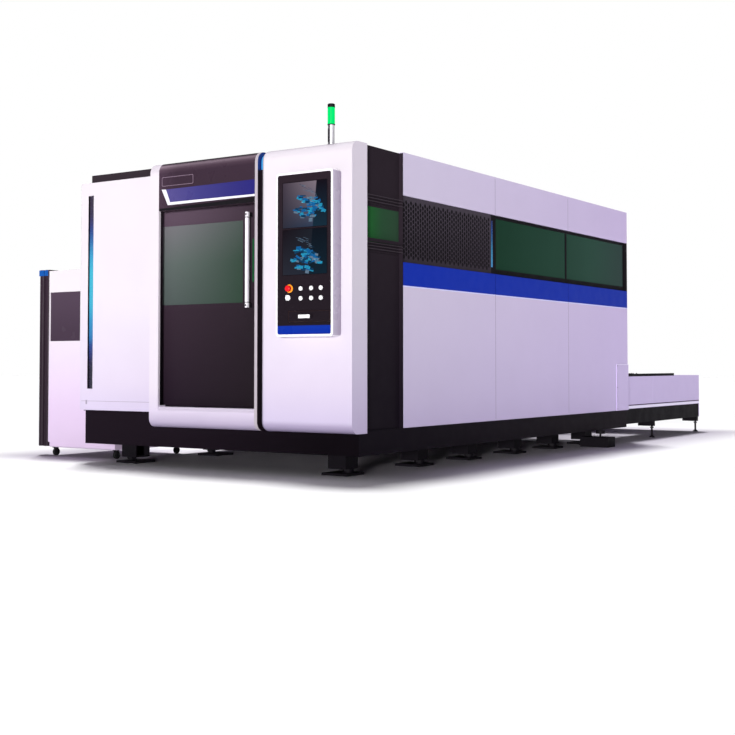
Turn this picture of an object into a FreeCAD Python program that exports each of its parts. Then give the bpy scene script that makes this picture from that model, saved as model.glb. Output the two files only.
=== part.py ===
"""Enclosed fiber laser cutting machine with an exchange table and a laser source cabinet.

Machine axes while modelling: X = 0 is the right side face of the cabin and X grows to the right,
Y = 0 is the front face of the raised front covers and Y grows to the rear, Z = 0 is the floor.
Every piece is moved at export, so that the origin is the bottom centre of the whole machine.
"""
import FreeCAD, Part
import math
import os

V = FreeCAD.Vector

# ------------------------------------------------------------------ driving dimensions (mm)
# Cabin
cabin_width = 2600.0
cabin_height = 2250.0
module_depth = 181.0
transition_length = 454.0
bay_length = 1383.0
bay_count = 3
panel_thick = 40.0
panel_sheet = 2.0
panel_gap = 3.0
panel_rise = 6.0
lip_chamfer = 14.0
transition_recess = 30.0
frame_tube = 80.0
roof_drop = 50.0
roof_thick = 30.0
frame_end_inset = 40.0
running_gap = 0.3

# Plinth and the lower edges of the covers
plinth_bottom = 150.0
plinth_top = 318.0
plinth_inset = 12.0
plinth_front = 100.0
plinth_sheet = 6.0
module_bottom = 300.0
left_cover_bottom = 410.0

# Window band on the right side
band_bottom = 1480.0
band_top = 1953.0
band_recess = 20.0
window_bottom = 1522.0
window_top = 1929.0
window_thick = 6.0
window_gap = 86.0
window_divider = 24.0
window_end_margin = 51.0
grille_length = 1340.0
grille_sheet = 4.0
grille_cell = 18.0
grille_web = 5.5
grille_border = 14.0
side_led_width = 16.0
side_led_bottom = 1535.0
side_led_top = 1905.0
side_led_gap = 8.0
side_led_proud = 6.0

# Transition section behind the right front cover
transition_sheet = 10.0
transition_flange = 6.0
transition_window_front = 32.0
transition_window_rear = 8.0
transition_window_bottom = 1595.0
transition_window_top = 1836.0
transition_window_sheet = 4.0
louvre_pitch = 18.0
louvre_slot = 7.0
louvre_margin = 10.8  # from the window's edge to the first groove
louvre_depth = 5.0
louvre_count = 4

# Front covers, door frame and door
cover_sheet = 4.0
right_cover_width = 766.0
right_cover_side_radius = 27.0
channel_width = 31.0
door_frame_left = 1817.0
left_post_width = 87.0
right_post_width = 25.0
post_depth = 80.0
post_lip = 20.0
post_cap_height = 150.0
profile_top_radius = 71.0
profile_bottom_radius = 65.0
header_bottom = 1893.0
header_slot_margin = 6.0
sill_top = 452.0
sill_slope = 29.0
front_wall_thick = 30.0
collar_reach = 51.0
collar_thick = 10.0
channel_recess = 30.0
channel_led_width = 15.0
channel_led_bottom = 2121.0
channel_led_proud = 6.0
channel_led_gap = 2.0
channel_led_back = 20.0
channel_rib_rise = 5.0
channel_profile_drop = 20.0
left_cover_front = 60.0
left_cover_thick = 20.0
left_cover_overhang = 15.0
left_cover_top = 2172.0
wall_trim_depth = 20.0
wall_trim_gap = 2.0
left_led_offset = 84.0
left_led_width = 58.0
left_led_bottom = 574.0
left_led_top = 2073.0
left_led_depth = 4.0
door_front = 90.0
door_thick = 30.0
door_bottom = 456.0
door_top = 1960.0
door_left_overlap = 74.0
door_edge_gap = 3.0
door_window_left = 1778.0
door_window_right = 997.0
door_window_bottom = 1197.0
door_window_top = 1790.0
door_window_recess = 2.0
handle_left = 937.0
handle_width = 23.0
handle_bottom = 1162.0
handle_top = 1836.0
handle_front = 30.0
handle_thick = 22.0
handle_foot = 31.0
handle_edge_radius = 7.0
rail_bottom = 2000.0
rail_height = 40.0
rail_depth = 21.0
rail_end_gap = 20.0
hook_clear = 3.0
hanger_width = 100.0
hanger_thick = 15.0
hanger_inset = 122.0  # from the leaf's side edge

# Console on the right front cover
console_left = 562.0
console_right = 87.0
console_bottom = 947.0
console_top = 2056.0
console_depth = 95.0
console_rim = 16.0
console_radius = 24.0
console_edge_radius = 4.0
glass_radius = 14.0
glass_thick = 6.0
estop_x = 443.0
estop_z = 1271.0
knob_x = 455.0
knob_z = 1209.0
button_columns = (348.0, 261.0, 182.0)
button_rows = (1269.0, 1203.0)
button_radius = 15.0
button_proud = 9.0
button_flange = 19.0
button_flange_thick = 4.0
button_edge_radius = 3.0
estop_radius = 21.0
estop_collar_radius = 28.0
estop_collar_thick = 4.0
estop_reach = 30.0
estop_head_depth = 15.0
estop_edge_radius = 6.0
estop_stem_length = 36.0
estop_stem_radius = 12.0
knob_radius = 19.0
knob_stem_radius = 8.0
knob_stem_length = 19.0
knob_thick = 8.0
knob_grip_width = 10.0
knob_grip_height = 34.0
knob_grip_proud = 12.0
drawer_left = 455.0
drawer_right = 109.0
drawer_bottom = 1045.0
drawer_top = 1121.0
drawer_gap = 1.5
drawer_slot_margin = 5.0
drawer_depth = 190.0
drawer_sheet = 2.0
drawer_side = 45.0
drawer_handle_left = 363.0
drawer_handle_right = 254.0
drawer_handle_height = 25.0
drawer_handle_reach = 10.0

# Signal tower
tower_x = 247.0
tower_y = 110.0
tower_radius = 25.0
tower_post_height = 143.0
tower_lens_height = 119.0
tower_cap_height = 23.0
tower_post_inset = 3.0
tower_cap_radius = 6.0

# Bed, feet and gantry
bed_offset = 18.5
foot_inset = 298.0
beam_width = 160.0
bed_bottom = 230.0
bed_top = 800.0
bed_front = 250.0
bed_rear_inset = 134.0
bed_wall = 12.0
cross_member_length = 160.0
cross_member_height = 100.0
cross_member_count = 4
foot_positions = (324.0, 1268.0, 2031.0, 2835.0, 3588.0, 4340.0)
foot_plate_x = 214.0
foot_plate_y = 210.0
foot_plate_thick = 18.0
foot_column_radius = 28.0
foot_stud_radius = 12.0
foot_screw_offset = 45.0
foot_stud_length = 30.0
foot_stud_clear = 0.5
foot_block_size = 150.0
foot_block_bottom = 45.0
cabin_bracket_height = 60.0
cabin_bracket_length = 140.0
rail_width = 34.0
gantry_rail_height = 30.0
gantry_rail_inset = 50.0
truck_width = 100.0
truck_drop = 24.0
truck_bridge = 40.0
gantry_length = 220.0
gantry_height = 280.0
gantry_wall = 10.0
gantry_end_clear = 120.0
gantry_post_clear = 5.0
gantry_rear_gap = 1334.0
beam_way_proud = 20.0
beam_way_height = 30.0
carriage_width = 260.0
carriage_thick = 40.0
carriage_over = 40.0
head_width = 90.0
head_depth = 100.0
head_height = 300.0
head_bottom = 960.0
nose_radius = 30.0
nose_height = 30.0
nozzle_height = 30.0
nozzle_tip_radius = 5.0
nozzle_top_radius = 22.0

# Pallets and their runners
pallet_length = 2990.0
pallet_home = 270.0
pallet_travel = 3030.0
pallet_tube = 60.0
pallet_side_gap = 33.5
pallet_step = 45.0
upper_runner_level = 560.0
lower_runner_level = 420.0
runner_overlap = 40.0
runner_thick = 15.0
slat_thick = 6.0
slat_height = 50.0
slat_tooth = 25.0
slat_pitch = 100.0
tooth_pitch = 60.0
slat_end_gap = 20.0

# Exchange table
table_tail = 806.0
table_inset = 80.0
table_top = 641.0
table_plinth_bottom = 168.0
table_seam_offset = 889.0
table_pallet_gap = 32.0
table_runner_overrun = 20.0
table_ledge_gap = 25.0
table_end_sheet_bottom = 600.0
table_bar_overrun = 2.0
table_bar_width = 30.0
table_bar_height = 27.0
table_sheet = 4.0
table_beam_width = 100.0
table_beam_bottom = 230.0
table_beam_top = 600.0
table_groove_level = 348.0
table_groove = 13.0
table_groove_depth = 2.0
table_groove_end = 100.0
table_foot_offset = 943.0
table_foot_tail = 33.0
table_foot_x = 115.0
outrigger_reach = 143.0
outrigger_size = 50.0
outrigger_bottom = 118.0
table_screw_radius = 10.0
table_pad_radius = 32.0
table_pad_height = 22.0
table_opening_top = 720.0
table_opening_bottom = 390.0

# Rear service hatch
hatch_length = 292.0
hatch_top = 765.0
hatch_thick = 8.0
hatch_margin = 20.0
hatch_post_gap = 4.0

# Laser source cabinet on casters
cabinet_width = 788.0
cabinet_front = 430.0
cabinet_depth = 800.0
cabinet_bottom = 115.0
cabinet_top = 1547.0
cabinet_sheet = 4.0
wheel_top_gap = 4.7
cabinet_lip_inset = 12.0
cabinet_lip_radius = 12.0
cabinet_bridge_inset = 40.0
cabinet_bridge_rise = 20.0
cabinet_door_gap = 2.0
cabinet_door_thick = 20.0
cabinet_recess_width = 379.0
cabinet_recess_bottom = 955.0
cabinet_recess_top = 1367.0
cabinet_recess_depth = 6.0
cabinet_post_width = 123.0
cabinet_post_depth = 110.0
cabinet_post_bottom = 78.0
cabinet_post_top = 1559.0
cabinet_post_radius = 26.0
cabinet_post_groove = 5.0
caster_inset_x = 42.0
caster_inset_front = 46.0
wheel_radius = 31.0
wheel_width = 24.0
axle_radius = 4.0
axle_clear = 0.05
caster_trail = 14.0
fork_plate = 5.0
fork_sheet = 3.0
fork_side_clear = 1.5
fork_plate_margin = 6.0
fork_cheek_front = 14.0
fork_cheek_back = 10.0
fork_cheek_drop = 9.0
wheel_edge_radius = 4.0
source_width = 600.0
source_depth = 560.0
source_height = 420.0
source_level = 520.0
source_setback = 120.0
shelf_setback = 40.0

# Floor service box beside the right feet
floor_box_left = -131.0
floor_box_right = 140.0
floor_box_to_foot = 410.0
floor_box_depth = 180.0
floor_box_height = 92.0
floor_box_cap_x = 33.0
floor_box_cap_radius = 42.0
floor_box_stem_radius = 9.0
floor_box_cap_bottom = 122.0
floor_box_cap_height = 32.0
floor_box_tie = 30.0

# ------------------------------------------------------------------ worked out from the above
transition_rear = module_depth + transition_length
cabin_rear = transition_rear + bay_count * bay_length
roof_level = cabin_height - roof_drop
frame_outer = panel_thick
bed_center = -cabin_width / 2 + bed_offset
foot_row_half = -bed_center - foot_inset
bed_rear = cabin_rear - bed_rear_inset
bed_right = bed_center + foot_row_half
bed_left = bed_center - foot_row_half
bed_inner_half = foot_row_half - beam_width / 2
upper_pallet_half = bed_inner_half - pallet_side_gap
lower_pallet_half = upper_pallet_half - pallet_step
gantry_home = cabin_rear - gantry_rear_gap
window_start = transition_rear + grille_length + window_gap
table_slat_end = pallet_home + pallet_travel + pallet_length + table_pallet_gap
table_rear = table_slat_end + table_tail
table_seam = cabin_rear + table_seam_offset
table_bar_end = table_slat_end + table_bar_overrun
table_foot_positions = (cabin_rear + table_foot_offset, table_rear - table_foot_tail)
cabinet_left = cabin_width + cabinet_width
cabinet_recess_right = cabinet_left - cabinet_recess_width
cabinet_lip_bottom = 2 * wheel_radius + fork_plate + wheel_top_gap + running_gap
floor_box_front = foot_positions[-1] - floor_box_to_foot
channel_right = right_cover_width
channel_left = channel_right + channel_width
channel_top = cabin_height - channel_recess + channel_rib_rise
channel_profile = profile_top_radius - channel_profile_drop
opening_right = channel_left + right_post_width
opening_left = door_frame_left - left_post_width
door_left = opening_left + door_left_overlap
door_right = opening_right + door_edge_gap
door_back = door_front + door_thick
slot_back = door_front - header_slot_margin
x_low = -cabinet_left - cabinet_post_width
x_high = floor_box_right
y_low = -console_depth - estop_reach
y_high = table_rear
to_origin = V(-(x_low + x_high) / 2, -(y_low + y_high) / 2, 0)


# ------------------------------------------------------------------ helpers
def box(x0, x1, y0, y1, z0, z1):
    """Block between two corners."""
    return Part.makeBox(x1 - x0, y1 - y0, z1 - z0, V(x0, y0, z0))


def rod(radius, start, direction, length):
    """Cylinder from a point along a direction."""
    return Part.makeCylinder(radius, length, start, direction)


def join(shapes):
    """One clean solid from touching or overlapping shapes."""
    first = shapes[0]
    return first.multiFuse(shapes[1:]).removeSplitter()


def group(shapes):
    """Separate solids kept in one node."""
    return Part.makeCompound(shapes)


def along(edge, direction):
    """True for a straight edge parallel to a direction."""
    if len(edge.Vertexes) != 2:
        return False
    run = edge.Vertexes[1].Point - edge.Vertexes[0].Point
    return run.Length > 1e-6 and run.normalize().cross(direction).Length < 1e-6


def round_edges(shape, radius, direction, test):
    """Fillet the edges along a direction whose middle passes a test."""
    chosen = [e for e in shape.Edges if along(e, direction) and test(e.CenterOfMass)]
    return shape.makeFillet(radius, chosen)


def near(a, b):
    return abs(a - b) < 1e-3


def tray(x0, x1, y0, y1, z0, z1, sheet, opening):
    """Folded sheet tray, open towards "-x", "+x", "-y", "+y", "-z" or "+z"."""
    reach = max(x1 - x0, y1 - y0, z1 - z0)
    lows = [x0 + sheet, y0 + sheet, z0 + sheet]
    highs = [x1 - sheet, y1 - sheet, z1 - sheet]
    index = "xyz".index(opening[1])
    if opening[0] == "-":
        lows[index] -= reach
    else:
        highs[index] += reach
    inner = box(lows[0], highs[0], lows[1], highs[1], lows[2], highs[2])
    return box(x0, x1, y0, y1, z0, z1).cut(inner)


def rounded_bar(x0, x1, y0, y1, z0, z1, top_radius, bottom_radius):
    """Bar along X whose front top and front bottom edges are rounded."""
    shape = box(x0, x1, y0, y1, z0, z1)
    if top_radius > 0:
        shape = round_edges(shape, top_radius, V(1, 0, 0), lambda c: near(c.y, y0) and near(c.z, z1))
    if bottom_radius > 0:
        shape = round_edges(shape, bottom_radius, V(1, 0, 0), lambda c: near(c.y, y0) and near(c.z, z0))
    return shape


def round_side(shape, radius):
    """Fillet the profile of a bar at its left end, except the edge at its back."""
    left, back = shape.BoundBox.XMin, shape.BoundBox.YMax
    chosen = [e for e in shape.Edges if near(e.BoundBox.XMax, left) and not near(e.BoundBox.YMin, back)]
    return shape.makeFillet(radius, chosen)


def rounded_plate(x0, x1, y0, y1, z0, z1, radius):
    """Upright plate facing the front, with its four corners rounded."""
    return round_edges(box(x0, x1, y0, y1, z0, z1), radius, V(0, 1, 0), lambda c: True)


# ------------------------------------------------------------------ bed, feet and plinth
def foot_places():
    """Centre of each main foot and the side, +1 right or -1 left, that it stands on."""
    return [(bed_center + side * foot_row_half, y, side) for side in (1, -1) for y in foot_positions]


def foot_block(x, y, side):
    """Welded block between a bed beam and its foot, with a hole for its levelling stud."""
    half = foot_block_size / 2
    low, high = sorted((x - side * (half + 1), x + side * (half - bed_wall)))
    block = box(x - half, x + half, y - half, y + half, foot_block_bottom, bed_bottom)
    hollow = box(low, high, y - half + bed_wall, y + half - bed_wall,
                 foot_block_bottom + bed_wall, bed_bottom - bed_wall)
    hole = rod(foot_stud_radius + foot_stud_clear,
               V(x + side * foot_screw_offset, y, foot_block_bottom - 1),
               V(0, 0, 1), bed_wall + 2)
    return block.cut(hollow).cut(hole)


def side_beam(x):
    """Open-ended box beam of the bed with its two pallet runners."""
    half = beam_width / 2
    outer = box(x - half, x + half, bed_front, bed_rear, bed_bottom, bed_top)
    inner = box(x - half + bed_wall, x + half - bed_wall, bed_front - 1, bed_rear + 1,
                bed_bottom + bed_wall, bed_top - bed_wall)
    return outer.cut(inner)


def runner(side, pallet_half, level, y0, y1):
    """Ledge that carries one edge of a pallet."""
    inner = bed_center + side * (pallet_half - runner_overlap)
    outer = bed_center + side * bed_inner_half
    return box(min(inner, outer), max(inner, outer), y0, y1, level - runner_thick, level)


def runners(y0, y1):
    return [runner(side, half, level, y0, y1) for side in (1, -1)
            for half, level in ((upper_pallet_half, upper_runner_level),
                                (lower_pallet_half, lower_runner_level))]


def bed_frame():
    """Members of the bed: side beams, cross members, pallet runners and the brackets to the cabin."""
    pieces = [side_beam(bed_right), side_beam(bed_left)]
    pieces += runners(bed_front, bed_rear)
    step = (bed_rear - bed_front - cross_member_length) / (cross_member_count - 1)
    for i in range(cross_member_count):
        y = bed_front + i * step
        pieces.append(tray(bed_center - bed_inner_half, bed_center + bed_inner_half,
                           y, y + cross_member_length, bed_bottom, bed_bottom + cross_member_height,
                           bed_wall, "-z"))
    rail_right = -frame_outer - frame_tube
    rail_left = -cabin_width + frame_outer + frame_tube
    for y in foot_positions:
        low = max(y - cabin_bracket_length / 2, bed_front)
        high = y + cabin_bracket_length / 2
        for x0, x1 in ((bed_right + beam_width / 2, rail_right), (rail_left, bed_left - beam_width / 2)):
            pieces.append(box(x0, x1, low, high, plinth_top, plinth_top + cabin_bracket_height))
    return group(pieces)


def levelling_foot(x, y, side):
    """Square floor plate with its column and the stud that enters the block."""
    plate = box(x - foot_plate_x / 2, x + foot_plate_x / 2, y - foot_plate_y / 2, y + foot_plate_y / 2,
                0, foot_plate_thick)
    center = x + side * foot_screw_offset
    column = rod(foot_column_radius, V(center, y, foot_plate_thick), V(0, 0, 1),
                 foot_block_bottom - foot_plate_thick)
    stud = rod(foot_stud_radius, V(center, y, foot_block_bottom), V(0, 0, 1), foot_stud_length)
    return join([plate, column, stud])


def table_foot(x, y):
    """Thin screw with a coned pad under an outrigger of the exchange table."""
    pad = Part.makeCone(table_pad_radius, table_screw_radius, table_pad_height, V(x, y, 0))
    screw = rod(table_screw_radius, V(x, y, table_pad_height), V(0, 0, 1),
                outrigger_bottom - table_pad_height)
    return join([pad, screw])


def table_foot_places():
    return [(x, y) for x in (-table_foot_x, 2 * bed_center + table_foot_x) for y in table_foot_positions]


def levelling_feet():
    """Feet of the bed with their blocks, and the feet of the table."""
    places = foot_places()
    return group([levelling_foot(*place) for place in places] + [foot_block(*place) for place in places]
                 + [table_foot(*place) for place in table_foot_places()])


def plinth_skirt():
    """Black skirt ring under the cabin, raised behind the lower edge of the left cover."""
    x0, x1 = -cabin_width + plinth_inset, -plinth_inset
    y0, y1 = plinth_front, cabin_rear - plinth_inset
    t = plinth_sheet
    ring = box(x0, x1, y0, y1, plinth_bottom, plinth_top)
    ring = ring.cut(box(x0 + t, x1 - t, y0 + t, y1 - t, plinth_bottom - 1, plinth_top + 1))
    ring = ring.cut(box(-door_frame_left, x1 + 1, y0 - 1, module_depth, module_bottom, plinth_top + 1))
    ring = ring.cut(box(x0 - 1, x1 + 1, y0 + t, module_depth, module_bottom, plinth_top + 1))
    raised = box(x0, -door_frame_left, y0, y0 + t, plinth_top - 1, left_cover_bottom)
    flange = box(x0, -door_frame_left, left_cover_front + left_cover_thick, y0 + t,
                 left_cover_bottom - t, left_cover_bottom)
    return join([ring, raised, flange])


# ------------------------------------------------------------------ cabin
def bay_start(index):
    return transition_rear + index * bay_length


def post_rows():
    """Y of the front face of each row of posts."""
    half = frame_tube / 2
    seams = [bay_start(i) - half for i in (1, 2)]
    return [module_depth + front_wall_thick, transition_rear] + seams + [cabin_rear - frame_end_inset - frame_tube]


def cabin_frame():
    """Tubes of the cabin: base rails, top rails, posts and roof beams."""
    right = (-frame_outer - frame_tube, -frame_outer)
    left = (-cabin_width + frame_outer, -cabin_width + frame_outer + frame_tube)
    front = module_depth + front_wall_thick
    rear = cabin_rear - frame_end_inset
    tubes = []
    for x0, x1 in (right, left):
        tubes.append(box(x0, x1, front, rear, plinth_top, plinth_top + frame_tube))
        tubes.append(box(x0, x1, front, rear, roof_level - frame_tube, roof_level))
        for y in post_rows():
            tubes.append(box(x0, x1, y, y + frame_tube, plinth_top + frame_tube, roof_level - frame_tube))
    for y in post_rows():
        tubes.append(box(left[1], right[0], y, y + frame_tube, roof_level - frame_tube, roof_level))
    return group(tubes)


def side_tray(index, z0, z1):
    """One folded panel of the right side in the given bay."""
    y0 = bay_start(index) + panel_gap / 2
    y1 = bay_start(index + 1) - panel_gap / 2
    return tray(-panel_thick, 0, y0, y1, z0, z1, panel_sheet, "-x"), y0, y1


def right_upper_panels():
    """White panels above the window band, with a chamfered lower lip."""
    panels = []
    for index in range(bay_count):
        panel, y0, y1 = side_tray(index, band_top, cabin_height + panel_rise)
        lip = Part.makePolygon([V(1, y0 - 1, band_top - 1), V(1, y0 - 1, band_top + lip_chamfer),
                                V(0, y0 - 1, band_top + lip_chamfer), V(-panel_sheet, y0 - 1, band_top - 1),
                                V(1, y0 - 1, band_top - 1)])
        wedge = Part.Face(lip).extrude(V(0, y1 - y0 + 2, 0))
        panels.append(panel.cut(wedge))
    return group(panels)


def hatch_limits():
    return cabin_rear - hatch_length, cabin_rear


def right_lower_panels():
    """Panels below the window band; the rear one has the opening of the service hatch."""
    panels = []
    for index in range(bay_count):
        panel = side_tray(index, plinth_top, band_bottom)[0]
        if index == bay_count - 1:
            hatch_start = hatch_limits()[0]
            post_start = cabin_rear - frame_end_inset - frame_tube
            panel = panel.cut(box(-panel_thick / 2, 1,
                                  hatch_start + hatch_margin, post_start - hatch_post_gap,
                                  plinth_top + hatch_margin, hatch_top - hatch_margin))
        panels.append(panel)
    return group(panels)


def left_side_panels():
    """Plain full-height panels of the left side, one for the front section and one for each bay."""
    x0, x1 = -cabin_width, -cabin_width + panel_thick
    spans = [(module_depth + panel_gap / 2, transition_rear - panel_gap / 2)]
    spans += [(bay_start(i) + panel_gap / 2, bay_start(i + 1) - panel_gap / 2) for i in range(bay_count)]
    return group([tray(x0, x1, y0, y1, plinth_top, cabin_height + panel_rise, panel_sheet, "+x")
                  for y0, y1 in spans])


def roof_panels():
    """Roof trays lying on the frame."""
    starts = [module_depth + front_wall_thick, bay_start(1), bay_start(2), cabin_rear - frame_end_inset]
    return group([tray(-cabin_width + panel_thick, -panel_thick, starts[i], starts[i + 1] - panel_gap,
                       roof_level, roof_level + roof_thick, panel_sheet, "-z") for i in range(3)])


def rear_wall():
    """Rear wall of four folded panels around the opening that the pallets pass through."""
    x0, x1 = -cabin_width + panel_thick, -panel_thick
    left, right = bed_center - bed_inner_half, bed_center + bed_inner_half
    panels = ((x0, x1, table_opening_top, cabin_height), (x0, x1, plinth_top, table_opening_bottom),
              (x0, left, table_opening_bottom, table_opening_top),
              (right, x1, table_opening_bottom, table_opening_top))
    return group([tray(low_x, high_x, cabin_rear - frame_end_inset, cabin_rear, low_z, high_z, panel_sheet, "-y")
                  for low_x, high_x, low_z, high_z in panels])


def rear_hatch():
    """Service hatch at the rear bottom corner, with a rounded hinge edge."""
    h0, h1 = hatch_limits()
    x0, x1 = running_gap, running_gap + hatch_thick
    leaf = box(x0, x1, h0, h1 - hatch_thick / 2, plinth_top, hatch_top)
    edge = rod(hatch_thick / 2, V((x0 + x1) / 2, h1 - hatch_thick / 2, plinth_top), V(0, 0, 1),
               hatch_top - plinth_top)
    return join([leaf, edge])


def grille_panel():
    """Sheet perforated with tall hexagons, in the front part of the window band."""
    y0, y1 = transition_rear + panel_gap, transition_rear + grille_length
    x = -band_recess
    outer = Part.makePolygon([V(x, y0, band_bottom), V(x, y1, band_bottom), V(x, y1, band_top),
                              V(x, y0, band_top), V(x, y0, band_bottom)])
    column_pitch = 1.5 * grille_cell + grille_web
    row_pitch = math.sqrt(3) * grille_cell + grille_web
    columns = int((y1 - y0 - 2 * grille_border - 2 * grille_cell) / column_pitch) + 1
    rows = int((band_top - band_bottom - 2 * grille_border - 1.5 * row_pitch) / row_pitch) + 1
    first_y = (y0 + y1 - (columns - 1) * column_pitch) / 2
    first_z = (band_bottom + band_top - (rows - 0.5) * row_pitch) / 2
    wires = [outer]
    for column in range(columns):
        for row in range(rows):
            cy = first_y + column * column_pitch
            cz = first_z + (row + 0.5 * (column % 2)) * row_pitch
            corners = [V(x, cy + grille_cell * math.cos(math.radians(60 * k)),
                         cz + grille_cell * math.sin(math.radians(60 * k))) for k in range(7)]
            wires.append(Part.makePolygon(corners))
    return Part.Face(wires).extrude(V(grille_sheet, 0, 0))


def window_spans():
    """Start and end of the two green panes of the band."""
    middle = bay_start(2)
    return ((window_start, middle - window_divider / 2),
            (middle + window_divider / 2, cabin_rear - window_end_margin))


def band_frame():
    """Black backing of the band, with the two window openings."""
    plate = box(-panel_thick, -band_recess, transition_rear + panel_gap, cabin_rear, band_bottom, band_top)
    for y0, y1 in window_spans():
        plate = plate.cut(box(-panel_thick - 1, 1, y0, y1, window_bottom, window_top))
    return plate


def transition_window_limits():
    return module_depth + transition_window_front, transition_rear - transition_window_rear


def side_windows():
    """Green panes of the band and of the transition section."""
    mid = -(band_recess + panel_thick) / 2
    panes = [box(mid - window_thick / 2, mid + window_thick / 2, y0, y1, window_bottom, window_top)
             for y0, y1 in window_spans()]
    y0, y1 = transition_window_limits()
    x1 = -transition_recess - (transition_sheet - transition_window_sheet) / 2
    panes.append(box(x1 - transition_window_sheet, x1, y0, y1,
                     transition_window_bottom, transition_window_top))
    return group(panes)


def transition_cover():
    """Black side cover behind the right front cover: window opening, louvre grooves and a rear flange."""
    x0, x1 = -transition_recess - transition_sheet, -transition_recess
    y0, y1 = module_depth, transition_rear
    cover = box(x0, x1, y0, y1, plinth_top, cabin_height)
    cover = cover.cut(box(x0 - 1, x1 + 1, *transition_window_limits(),
                          transition_window_bottom, transition_window_top))
    for i in range(louvre_count):
        rise = louvre_margin + i * louvre_pitch
        for level in (transition_window_top + rise, transition_window_bottom - rise - louvre_slot):
            cover = cover.cut(box(x1 - louvre_depth, x1 + 1, y0 - 1, y1 - 2 * transition_window_rear,
                                  level, level + louvre_slot))
    flange = box(x1, 0, y1 - transition_flange, y1, plinth_top, cabin_height)
    return join([cover, flange])


# ------------------------------------------------------------------ front covers and door
def channel_rib():
    """Dark filler of the channel between the door frame and the right cover."""
    return rounded_bar(-channel_left, -channel_right, channel_recess, module_depth, plinth_top,
                       channel_top, channel_profile, 0)


def door_rail():
    """Rail of the front wall that carries the door."""
    return box(-cabin_width + panel_thick, -opening_right - rail_end_gap, module_depth - rail_depth,
               module_depth, rail_bottom, rail_bottom + rail_height)


def door_collar():
    """Four bars of the collar around the door opening."""
    t = collar_thick
    x0, x1 = -opening_left, -opening_right
    bars = ((x0, x0 + t, sill_top, header_bottom), (x1 - t, x1, sill_top, header_bottom),
            (x0 + t, x1 - t, sill_top, sill_top + t), (x0 + t, x1 - t, header_bottom - t, header_bottom))
    return [box(low_x, high_x, module_depth - collar_reach, module_depth, low_z, high_z)
            for low_x, high_x, low_z, high_z in bars]


def front_wall():
    """Dark inner front wall: sheets around the door opening, collar, door rail, channel filler and trim."""
    t = collar_thick
    x0, x1 = -opening_left + t, -opening_right - t
    sheets = ((-cabin_width + panel_thick, x0, plinth_top, cabin_height),
              (x1, -panel_thick, plinth_top, cabin_height),
              (x0, x1, plinth_top, sill_top + t), (x0, x1, header_bottom - t, cabin_height))
    pieces = [box(low_x, high_x, module_depth, module_depth + front_wall_thick, low_z, high_z)
              for low_x, high_x, low_z, high_z in sheets]
    trim = box(-cabin_width, -door_frame_left, module_depth - wall_trim_depth, module_depth,
               left_cover_top + wall_trim_gap, cabin_height)
    return group(pieces + door_collar() + [door_rail(), channel_rib(), trim])


def front_right_cover():
    """White shell of the right front module, open to the back, with its left edge rounded."""
    x0, x1 = -right_cover_width, 0
    t = cover_sheet
    outer = rounded_bar(x0, x1, 0, module_depth, module_bottom, cabin_height,
                        profile_top_radius, profile_bottom_radius)
    inner = rounded_bar(x0 + t, x1 - t, t, module_depth + 1, module_bottom + t, cabin_height - t,
                        profile_top_radius - t, profile_bottom_radius - t)
    shell = round_side(outer, right_cover_side_radius).cut(round_side(inner, right_cover_side_radius - t))
    return shell.cut(box(-drawer_left - drawer_slot_margin, -drawer_right + drawer_slot_margin, -1, t + 1,
                         drawer_bottom + drawer_gap - running_gap, drawer_top + drawer_slot_margin))


def channel_section(x0, x1, low_depth):
    """Post of the door frame: a folded section that is deeper at its two ends."""
    t = cover_sheet
    outer = rounded_bar(x0, x1, 0, module_depth, module_bottom, cabin_height,
                        profile_top_radius, profile_bottom_radius)
    inner = rounded_bar(x0 + t, x1 - t, t, module_depth + 1, module_bottom + t, cabin_height - t,
                        profile_top_radius - t, profile_bottom_radius - t)
    waist = box(x0 - 1, x1 + 1, low_depth, module_depth + 1, door_bottom - door_thick,
                cabin_height - post_cap_height)
    return outer.cut(inner).cut(waist)


def sill():
    """White curved sill under the door with a sloped ledge."""
    t = cover_sheet
    x0, x1 = -opening_left, -opening_right
    outer = rounded_bar(x0, x1, 0, module_depth, module_bottom, sill_top, 0, profile_bottom_radius)
    ledge = Part.makePolygon([V(x0, -1, sill_top - sill_slope), V(x0, sill_slope / 2, sill_top + 1),
                              V(x0, -1, sill_top + 1), V(x0, -1, sill_top - sill_slope)])
    inner = rounded_bar(x0 - 1, x1 + 1, t, module_depth + 1, module_bottom + t,
                        sill_top - sill_slope - t, 0, profile_bottom_radius - t)
    return outer.cut(Part.Face(ledge).extrude(V(x1 - x0, 0, 0))).cut(inner)


def door_surround():
    """White door frame: two posts and the sill."""
    left = channel_section(-door_frame_left, -opening_left, post_depth)
    left = left.cut(box(-opening_left - cover_sheet, -opening_left + 1, post_lip, module_depth,
                        sill_top + collar_thick, header_bottom))
    right = channel_section(-opening_right, -channel_left, module_depth)
    return group([left, right, sill()])


def door_header():
    """Glossy black curved header between the posts, open at the back and at its ends."""
    x0, x1 = -opening_left, -opening_right
    t = cover_sheet
    outer = rounded_bar(x0, x1, 0, module_depth, header_bottom, cabin_height, profile_top_radius, 0)
    inner = rounded_bar(x0 - 1, x1 + 1, t, module_depth + 1, header_bottom + t, cabin_height - t,
                        profile_top_radius - t, 0)
    slot = box(x0 - 1, x1 + 1, slot_back, module_depth + 1, header_bottom - 1, header_bottom + t + 1)
    return outer.cut(inner).cut(slot)


def left_led_limits():
    x0 = -cabin_width - left_cover_overhang + left_led_offset
    return x0, x0 + left_led_width


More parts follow.
